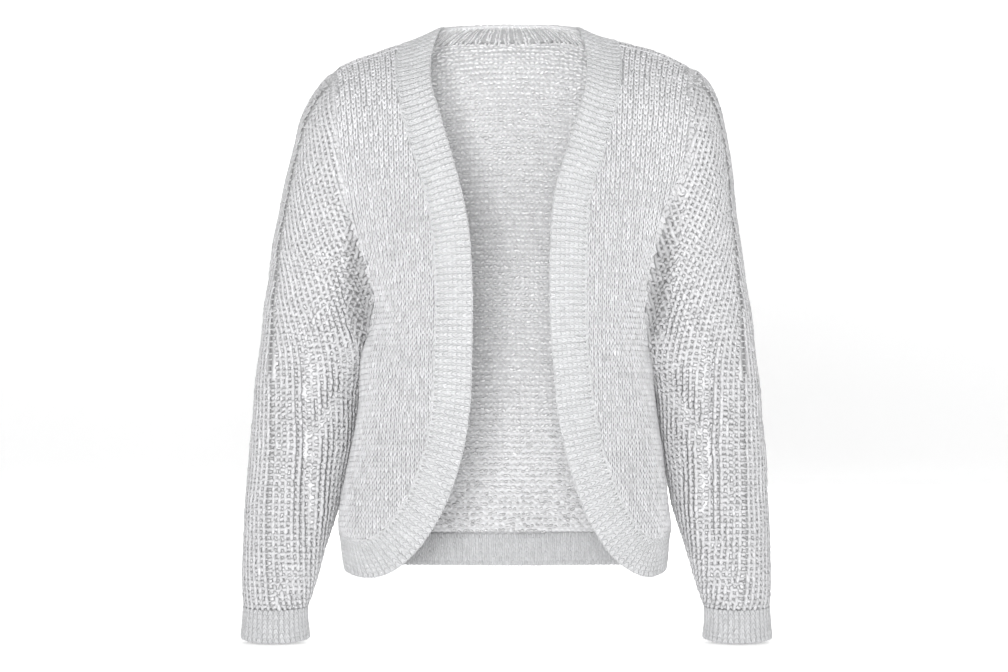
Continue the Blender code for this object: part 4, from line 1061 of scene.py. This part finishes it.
def overarm_bars(side, sections):
    """Short bars across the open way of the overarm seam."""
    levels, phi, t, arc = sections
    seam_phi = overarm_phi(levels, phi, arc)
    seam_t = np.array([np.interp(angle, phi, rows) for angle, rows in zip(seam_phi, t)])
    points = tube_point(side, SLEEVES[side], seam_t, seam_phi, True)
    rows = np.column_stack([seam_t, seam_phi, np.gradient(points, axis=0)])
    bars = spaced(points, rows, levels < levels[-1] - 5.0, SLEEVE_COURSE)
    centre, normal = sleeve_relief(side, bars[:, 0], bars[:, 1])
    size = np.broadcast_to(np.array([1.4, 2.8, 2 * OVERARM_GAP + 3.4]), centre.shape)
    across = np.cross(unit(bars[:, 2:]), normal)
    return centre - normal * 0.8, across, normal, size, tones(len(centre), 15 + side)


def sleeve_shell(side, sections, material):
    t = np.linspace(0.0, len(SLEEVES[side]) - 1, 86)[:, None]
    t, phi = np.broadcast_arrays(t, np.linspace(0.0, ROUND, 73)[:-1][None])
    outer, normal = sleeve_relief(side, t, phi, -SLEEVE_SINK)
    levels, angles, _, arc = sections
    z = outer[..., 2]
    off = (phi - np.interp(z, levels, overarm_phi(levels, angles, arc)) + math.pi) % ROUND - math.pi
    # painted shade along the overarm seam's open way, fading out near the shoulder tip
    groove = SEAM_SHADE * limited(1.3 - np.abs(off) / SEAM_SHADE_WAY)
    groove = groove * limited((z[0].max() - 6.0 - z) / 25.0)
    # painted shade: the ground is coloured darker in the fold under the arm and along the overarm seam,
    # where shade falls
    shade = (1 - FOLD_SHADE * in_fold(side, outer)) * (1 - groove)
    fabric = np.stack([phi * 8.0, t * 4.6], axis=-1)
    name = SIDE_NAME[side] + "_sleeve_ground"
    return wall(name, outer, outer - normal * SHELL, True, fabric, material, shade)


# ---------------- ribbed pieces
def rib_profile(columns, height):
    """Height over the groove at each column: broad round ribs with narrow grooves."""
    x = (np.arange(columns) % RIB_STEPS) / RIB_STEPS
    return height * (1 - np.abs(2 * x - 1) ** 3.2)


def ribbed_shell(name, grid, closed, material):
    points, normals = grid
    rows, columns = points.shape[:2]
    outer = points + normals * (RIB_FLOOR + rib_profile(columns, RIB_HEIGHT))[None, :, None]
    turned = np.roll(rib_profile(columns, RIB_HEIGHT * 0.8), RIB_STEPS // 2)
    inner = points + normals * (RIB_FLOOR - RIB_WALL - turned)[None, :, None]
    ribs, courses = np.arange(columns) / RIB_STEPS, np.linspace(0.0, 7.5, rows)
    return wall(name, outer, inner, closed, np.stack(np.meshgrid(ribs, courses), axis=-1), material)


def rib_cells(grid, course, offset, wrong_side=False):
    """Stitches along every rib; grid is points and normals (rows, columns), RIB_STEPS columns to a rib."""
    first = RIB_STEPS if wrong_side else RIB_STEPS // 2
    middle, normal = (part[:, first:-1:RIB_STEPS] for part in grid)
    near = grid[0][:, first + 1::RIB_STEPS]
    lift, fill, lean = (RIB_LIFT_INSIDE, 0.4, 0.15) if wrong_side else (RIB_LIFT, 0.52, 0.36)
    made = []
    length = np.linalg.norm(np.diff(middle, axis=0), axis=-1).sum(axis=0)
    count = int(round(float(np.median(length)) / course))
    rows = np.linspace(0.0, 1.0, middle.shape[0])
    at = (np.arange(count) + 0.5) / count
    for j in range(middle.shape[1]):
        up = unit(between(at, rows, normal[:, j])) * (-1 if wrong_side else 1)
        along = unit(between(at, rows, np.gradient(middle[:, j], axis=0)))
        pitch = np.interp(at, rows, np.linalg.norm(near[:, j] - middle[:, j], axis=-1) * RIB_STEPS)
        made += vees(between(at, rows, middle[:, j]), along, up, pitch * 0.84, length[j] / count, RIB_YARN,
                     lift, fill, lean, offset + j)
    return made


def between_edges(seam, edge, rows):
    """Rows of numbers from a ribbed piece's seam to its edge."""
    part = np.linspace(0.0, 1.0, rows)[:, None]
    return seam[None] * (1 - part) + edge[None] * part


def band_grid(side):
    k = np.linspace(0.0, 1.0, RIB_STEPS * FRONT_BAND_RIBS + 1)
    edge_a, edge_turn, seam_a, seam_turn = band_places(side, k)
    return body_relief(side, FRONT, between_edges(seam_a, edge_a, 7), between_edges(seam_turn, edge_turn, 7))


def back_grid(k, places):
    """Points and normals round the back; k is under 0 on the right, places gives a and turn of a side."""
    right, left = (body_relief(side, BACK, *places(side)) for side in (RIGHT, LEFT))
    here = (k < 0)[None, :, None]
    return [np.where(here, *pair) for pair in zip(right, left)]


def neck_grid():
    k = np.linspace(-1.0, 1.0, RIB_STEPS * NECK_BAND_RIBS + 1)
    places = [between_edges(seam, edge, 6) for seam, edge in zip(neck_places(k, 0.0), neck_places(k, 1.0))]
    return back_grid(k, lambda side: places)


def hem_grid():
    k = np.linspace(-1.0, 1.0, RIB_STEPS * HEM_RIBS + 1)
    a = 1 - np.abs(k)

    def places(side):
        turn = between_edges(hem_turn(side, a, 0), hem_turn(side, a, 1), 7)
        return np.broadcast_to(a, turn.shape), turn
    return back_grid(k, places)


def cuff_grid(side):
    table = CUFFS[side]
    t = np.linspace(0.0, len(table) - 1.0, 7)[:, None]
    t, phi = np.broadcast_arrays(t, np.linspace(0.0, ROUND, RIB_STEPS * CUFF_RIBS + 1)[:-1][None])
    normals = tube_normal(side, table, t, phi, False)
    normals[0, :, 2] = 0.0                      # level at the sleeve's seam
    normals[0] = unit(normals[0])
    return tube_point(side, table, t, phi, False), normals


def shoulder_cord(side):
    """The linked shoulder seam, which lies on the front a little under the ridge."""
    seam_a = float(band_places(side, np.array([0.0]))[2][0])
    a = np.linspace(0.03, seam_a - 0.03, 120)
    line = body_relief(side, FRONT, a, np.full_like(a, CORD_TURN))
    return chain(line, step=4.4, width=2.6, thick=1.6, lift=0.25, offset=80 + side, fill=0.55)


def foot_row(side):
    """The panel's last row, along the band round the lower corner."""
    seam_a, seam_turn = band_places(side, np.linspace(CORNER_K - 0.04, 0.995, 160))[2:]
    line = body_relief(side, FRONT, seam_a, seam_turn - 2.2 / TURN_LENGTH)
    return chain(line, step=5.6, width=3.6, thick=1.7, lift=-0.4, offset=90 + side, fill=0.5)


# ---------------- materials
def shader(name, numbers):
    made = bpy.data.materials.new(name)
    made.use_nodes = True
    base = made.node_tree.nodes["Principled BSDF"]
    for key, value in numbers.items():
        fill_socket(made.node_tree, base.inputs[key], value)
    return made, made.node_tree, base


def wool(name, colour, roughness, sheen):
    numbers = {"Roughness": roughness, "Sheen Weight": sheen, "Sheen Roughness": 0.45}
    made, tree, base = shader(name, {**numbers, "Specular IOR Level": 0.18})
    made.diffuse_color = (*colour, 1.0)
    return made, tree, base


def mixed(tree, kind, factor, a, b):
    return node(tree, "ShaderNodeMix", {0: factor, 6: a, 7: b}, data_type="RGBA", blend_type=kind).outputs[2]


def noise(tree, source, scale, detail, rough=0.55):
    settings = {"Scale": scale, "Detail": detail, "Roughness": rough, "Vector": source}
    return node(tree, "ShaderNodeTexNoise", settings).outputs["Fac"]


def ranged(tree, value, low, high, to_low, to_high):
    return node(tree, "ShaderNodeMapRange", {0: value, 1: low, 2: high, 3: to_low, 4: to_high})


def attribute(tree, name):
    return node(tree, "ShaderNodeAttribute", attribute_name=name).outputs


def heather(tree, source, colour, depth):
    """Grey wool with lighter and darker fibres."""
    fibres = ranged(tree, noise(tree, source, 900.0, 5.0, 0.7), 0.32, 0.68, 0.0, 1.0)
    patches = ranged(tree, noise(tree, source, 130.0, 3.0), 0.3, 0.7, 0.0, 1.0)
    dark = tuple(c * (1 - depth) for c in colour)
    light = tuple(min(c * (1 + 0.6 * depth), 1.0) for c in colour)
    mottled = mixed(tree, "MIX", fibres, dark, light)
    slow = mixed(tree, "MIX", patches, (0.96, 0.96, 0.96), WHITE)
    return mixed(tree, "MULTIPLY", 1.0, mottled, slow)


def finished(tree, base, colour, fuzz, smoothest, height, strength, distance):
    """Joins a wool's colour, uneven roughness and bump to its shader."""
    bump = {"Strength": strength, "Distance": distance, "Height": height}
    fill_socket(tree, base.inputs["Base Color"], colour)
    fill_socket(tree, base.inputs["Roughness"], ranged(tree, fuzz, 0.3, 0.7, smoothest, 0.98))
    fill_socket(tree, base.inputs["Normal"], node(tree, "ShaderNodeBump", bump))


def yarn(name, colour, depth=0.10, spread=0.05):
    """Fuzzy yarn; spread is how much lighter one more of a grain's tone makes it. The tone is random, with
    painted shade added to it in some places.
    """
    made, tree, base = wool(name, colour, 0.9, 0.25)
    source = node(tree, "ShaderNodeTexCoord").outputs["Object"]
    level = ranged(tree, attribute(tree, "tone")["Fac"], -12.0, 12.0, 1 - spread * 12.0, 1 + spread * 12.0)
    grey = node(tree, "ShaderNodeCombineColor", {0: level, 1: level, 2: level})
    shown = mixed(tree, "MULTIPLY", 1.0, heather(tree, source, colour, depth), grey)
    fuzz = noise(tree, source, 1900.0, 4.0, 0.75)
    finished(tree, base, shown, fuzz, 0.82, fuzz, 0.45, 0.0005)
    return made


def ground(name, colour, hollow_shade, relief=0.0007, shaded=False):
    """The knitted ground: cross bumps of the wrong side by its wale and course numbers, with painted shade
    between them.
    """
    made, tree, base = wool(name, colour, 0.92, 0.2)
    source = node(tree, "ShaderNodeTexCoord").outputs["Object"]
    fabric = node(tree, "ShaderNodeUVMap", uv_map="fabric")
    wale, course, _ = node(tree, "ShaderNodeSeparateXYZ", {0: fabric}).outputs
    swing = worked(tree, "SINE", worked(tree, "MULTIPLY", wale, ROUND))
    row = worked(tree, "ADD", worked(tree, "MULTIPLY", course, ROUND), worked(tree, "MULTIPLY", swing, 0.9))
    height = ranged(tree, worked(tree, "SINE", row), -1.0, 1.0, 0.0, 1.0)
    shown = mixed(tree, "MIX", height, tuple(c * hollow_shade for c in colour), colour)
    shown = mixed(tree, "MULTIPLY", 1.0, shown, heather(tree, source, (0.97, 0.97, 0.97), 0.10))
    # painted shade: the sleeves' ground is darkened by its points' shade
    if shaded:
        shown = mixed(tree, "MULTIPLY", 1.0, shown, attribute(tree, "shade")["Color"])
    fuzz = noise(tree, source, 1500.0, 4.0, 0.7)
    height = worked(tree, "ADD", height, worked(tree, "MULTIPLY", fuzz, 0.5))
    finished(tree, base, shown, fuzz, 0.84, height, 0.6, relief)
    return made


RIB = (0.50, 0.503, 0.512)
FINE_RELIEF = 0.0002      # metres, on the ribbed ground

panel_yarn = yarn("panel_yarn", (0.60, 0.60, 0.612))
sleeve_yarn = yarn("sleeve_yarn", (0.535, 0.535, 0.545))
band_yarn = yarn("band_yarn", (0.535, 0.538, 0.547), 0.07, 0.03)
rib_yarn = yarn("rib_yarn", RIB, 0.08, 0.04)
# painted light: the yarn of the inner faces is coloured far lighter than the same yarn outside, to make up
# for the shade inside the garment
inside_yarn = yarn("inside_yarn", (0.86, 0.86, 0.868), 0.07, 0.08)
# painted shade: the panels' ground, seen between the stitches, is coloured darker than their yarn
panel_ground = ground("panel_ground", (0.45, 0.45, 0.46), 0.7)
# painted light: the neck band's ground is coloured lighter than the other ribs, for its shaded inner face
neck_ground = ground("neck_ground", (0.62, 0.62, 0.63), 0.92, FINE_RELIEF)
# painted light: the sleeves' ground fills the open knit's holes and is coloured lighter than the yarn, so
# the holes read less dark than their shade
sleeve_ground = ground("sleeve_ground", (0.69, 0.69, 0.70), 0.97, shaded=True)
# painted light: the back's ground, seen mostly from inside, is coloured far lighter than the fronts' ground
back_ground = ground("back_ground", (0.72, 0.72, 0.732), 0.75)
band_ground = ground("band_ground", (0.56, 0.563, 0.572), 0.92, FINE_RELIEF)
rib_ground = ground("rib_ground", RIB, 0.9, FINE_RELIEF)

# The cut of every sheet: node, width, length and flat area in metres, what it hangs from
CUTS = (
    ("back_panel", 0.46, 0.53, 0.205, ()),
    ("right_front_panel", 0.155, 0.51, 0.0504, ("back_panel",)),
    ("left_front_panel", 0.155, 0.51, 0.0478, ("back_panel",)),
    ("right_front_band", 0.041, 0.66, None, ("right_front_panel",)),
    ("left_front_band", 0.041, 0.66, None, ("left_front_panel",)),
    ("right_sleeve", 0.36, 0.56, 0.142, ("right_front_panel", "back_panel")),
    ("left_sleeve", 0.36, 0.56, 0.142, ("left_front_panel", "back_panel")),
    ("right_cuff", 0.21, 0.034, None, ("right_sleeve",)),
    ("left_cuff", 0.21, 0.034, None, ("left_sleeve",)),
    ("back_neck_band", 0.24, 0.042, None, ("back_panel",)),
    ("back_hem_rib", 0.5, 0.036, None, ("back_panel",)),
)


def front_panel(side):
    name = SIDE_NAME[side] + "_front"
    shell = front_shell(side, panel_ground)
    places = body_stitches(side, FRONT, front_polygon(side))
    cells = right_side_cells(side, FRONT, places, 20 + side) + shoulder_cord(side) + foot_row(side)
    grains(name + "_knit", cells, panel_yarn, turn_play=0.09)


def front_band(side):
    name = SIDE_NAME[side] + "_band"
    grid = band_grid(side)
    shell = ribbed_shell(name + "_ribs", grid, False, band_ground)
    cells = rib_cells(grid, RIB_COURSE, 100)
    cells += chain([part[0] for part in grid], step=5.0, width=3.4, thick=1.5, lift=0.1, offset=60)
    cells += chain([part[-1] for part in grid], step=4.4, width=2.6, thick=1.5, lift=-0.7, offset=61)
    grains(name + "_knit", cells, band_yarn)


def sleeve(side):
    name = SIDE_NAME[side] + "_sleeve"
    sections = sleeve_sections(side)
    shell = sleeve_shell(side, sections, sleeve_ground)
    cells = sleeve_mesh(side, sections) + armhole_rows(side) + [overarm_bars(side, sections)]
    grains(name + "_knit", cells, sleeve_yarn, 3, 0.08, 0.08)


def cuff(side):
    name = SIDE_NAME[side] + "_cuff"
    grid = cuff_grid(side)
    shell = ribbed_shell(name + "_ribs", grid, True, rib_ground)
    grains(name + "_knit", rib_cells(grid, CUFF_COURSE, 300), rib_yarn)


def back_panel():
    shell = back_shell(back_ground)
    outside, within = [], []
    for side in (RIGHT, LEFT):
        places = body_stitches(side, BACK, back_polygon(side), BACK_GAUGE)
        outside += right_side_cells(side, BACK, places, 30 + side)
        within += wrong_side_cells(side, BACK, places, 40 + side)
    knit = grains("back_knit", outside, panel_yarn, 3)
    grains("back_purl", within, inside_yarn, 3, 0.14, 0.14)


def neck_band():
    grid = neck_grid()
    seam, up = grid[0][0], grid[1][0]
    shell = ribbed_shell("neck_ribs", grid, False, neck_ground)
    outside = rib_cells(grid, CUFF_COURSE, 500)
    outside += chain((seam, up), step=4.8, width=3.2, thick=1.5, lift=0.0, offset=64)
    knit = grains("neck_knit", outside, rib_yarn)
    within = rib_cells(grid, CUFF_COURSE, 600, True)
    within += chain((seam, -up), step=4.8, width=3.2, thick=1.6, lift=3.0, offset=62)
    grains("neck_inside", within, inside_yarn)


def back_hem():
    grid = hem_grid()
    shell = ribbed_shell("hem_ribs", grid, False, rib_ground)
    cells = rib_cells(grid, RIB_COURSE, 700)
    cells += chain([part[0] for part in grid], step=4.8, width=3.2, thick=1.5, lift=0.0, offset=63)
    cells += rib_cells(grid, RIB_COURSE, 850, True)
    grains("hem_knit", cells, rib_yarn)


for side in (RIGHT, LEFT):
    front_panel(side)
    front_band(side)
    sleeve(side)
    cuff(side)
back_panel()
neck_band()
back_hem()

for name, width, length, area, held_by in CUTS:
    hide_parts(name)

# ---------------- stage, light, camera
FLOOR_Z = -604.0
BACKDROP_Y = 4700.0
BACKDROP_TOP = 5200.0
FLOOR_FRONT = -6500.0
HALF_WIDTH = 7500.0
CURVE = 900.0             # radius between floor and backdrop
CURVE_STEPS = 24
PAPER = 0.9
GLOW = 0.41


def paper():
    numbers = {"Base Color": (PAPER, PAPER, PAPER), "Roughness": 0.9, "Specular IOR Level": 0.1}
    return shader("paper", {**numbers, "Emission Color": WHITE, "Emission Strength": GLOW})[0]


def sweep():
    """Floor that rises into a backdrop through a wide curve."""
    profile = [(FLOOR_FRONT, FLOOR_Z)]
    for i in range(CURVE_STEPS + 1):
        angle = i / CURVE_STEPS * QUARTER
        y = BACKDROP_Y - CURVE + CURVE * math.sin(angle)
        profile.append((y, FLOOR_Z + CURVE - CURVE * math.cos(angle)))
    profile.append((BACKDROP_Y, BACKDROP_TOP))
    points = [(x * MM, y * MM, z * MM) for x in (-HALF_WIDTH, HALF_WIDTH) for y, z in profile]
    count = len(profile)
    faces = [(i, i + count, i + count + 1, i + 1) for i in range(count - 1)]
    mesh = bpy.data.meshes.new("sweep")
    mesh.from_pydata(points, [], faces)
    mesh.polygons.foreach_set("use_smooth", np.ones(len(mesh.polygons), bool))
    mesh.materials.append(paper())
    made = in_scene("sweep", mesh)


def area_light(name, place, target, size, power):
    data = bpy.data.lights.new(name, "AREA")
    data.shape = "RECTANGLE"
    data.size, data.size_y = size
    data.energy = power
    made = in_scene(name, data)
    made.location = Vector(place) * MM
    made.visible_camera = False
    aim = Vector(target) * MM - made.location
    made.rotation_euler = aim.to_track_quat("-Z", "Y").to_euler()


CHEST = (0.0, 0.0, -300.0)
sweep()
area_light("key", (-250.0, -3350.0, -50.0), CHEST, (0.9, 0.9), 104.0)
area_light("fill", (1100.0, -3100.0, 100.0), CHEST, (1.6, 2.0), 20.0)
area_light("top", (0.0, -100.0, 2300.0), (0.0, -100.0, -300.0), (3.0, 3.0), 12.0)
area_light("rear", (300.0, 3000.0, 700.0), CHEST, (2.4, 2.4), 60.0)

world = bpy.data.worlds.new("studio")
bpy.context.scene.world = world
world.use_nodes = True
world.node_tree.nodes["Background"].inputs["Color"].default_value = (*WHITE, 1.0)
world.node_tree.nodes["Background"].inputs["Strength"].default_value = 0.30
bpy.context.scene.view_settings.view_transform = "Standard"

camera_data = bpy.data.cameras.new("camera")
camera_data.sensor_width = 36.0
camera_data.lens = 110.96
camera_data.clip_end = 50.0
camera = in_scene("camera", camera_data)
camera.location = (-0.00309, -3.2, -0.2884)
camera.rotation_euler = (QUARTER, 0.0, 0.0)
bpy.context.scene.camera = camera
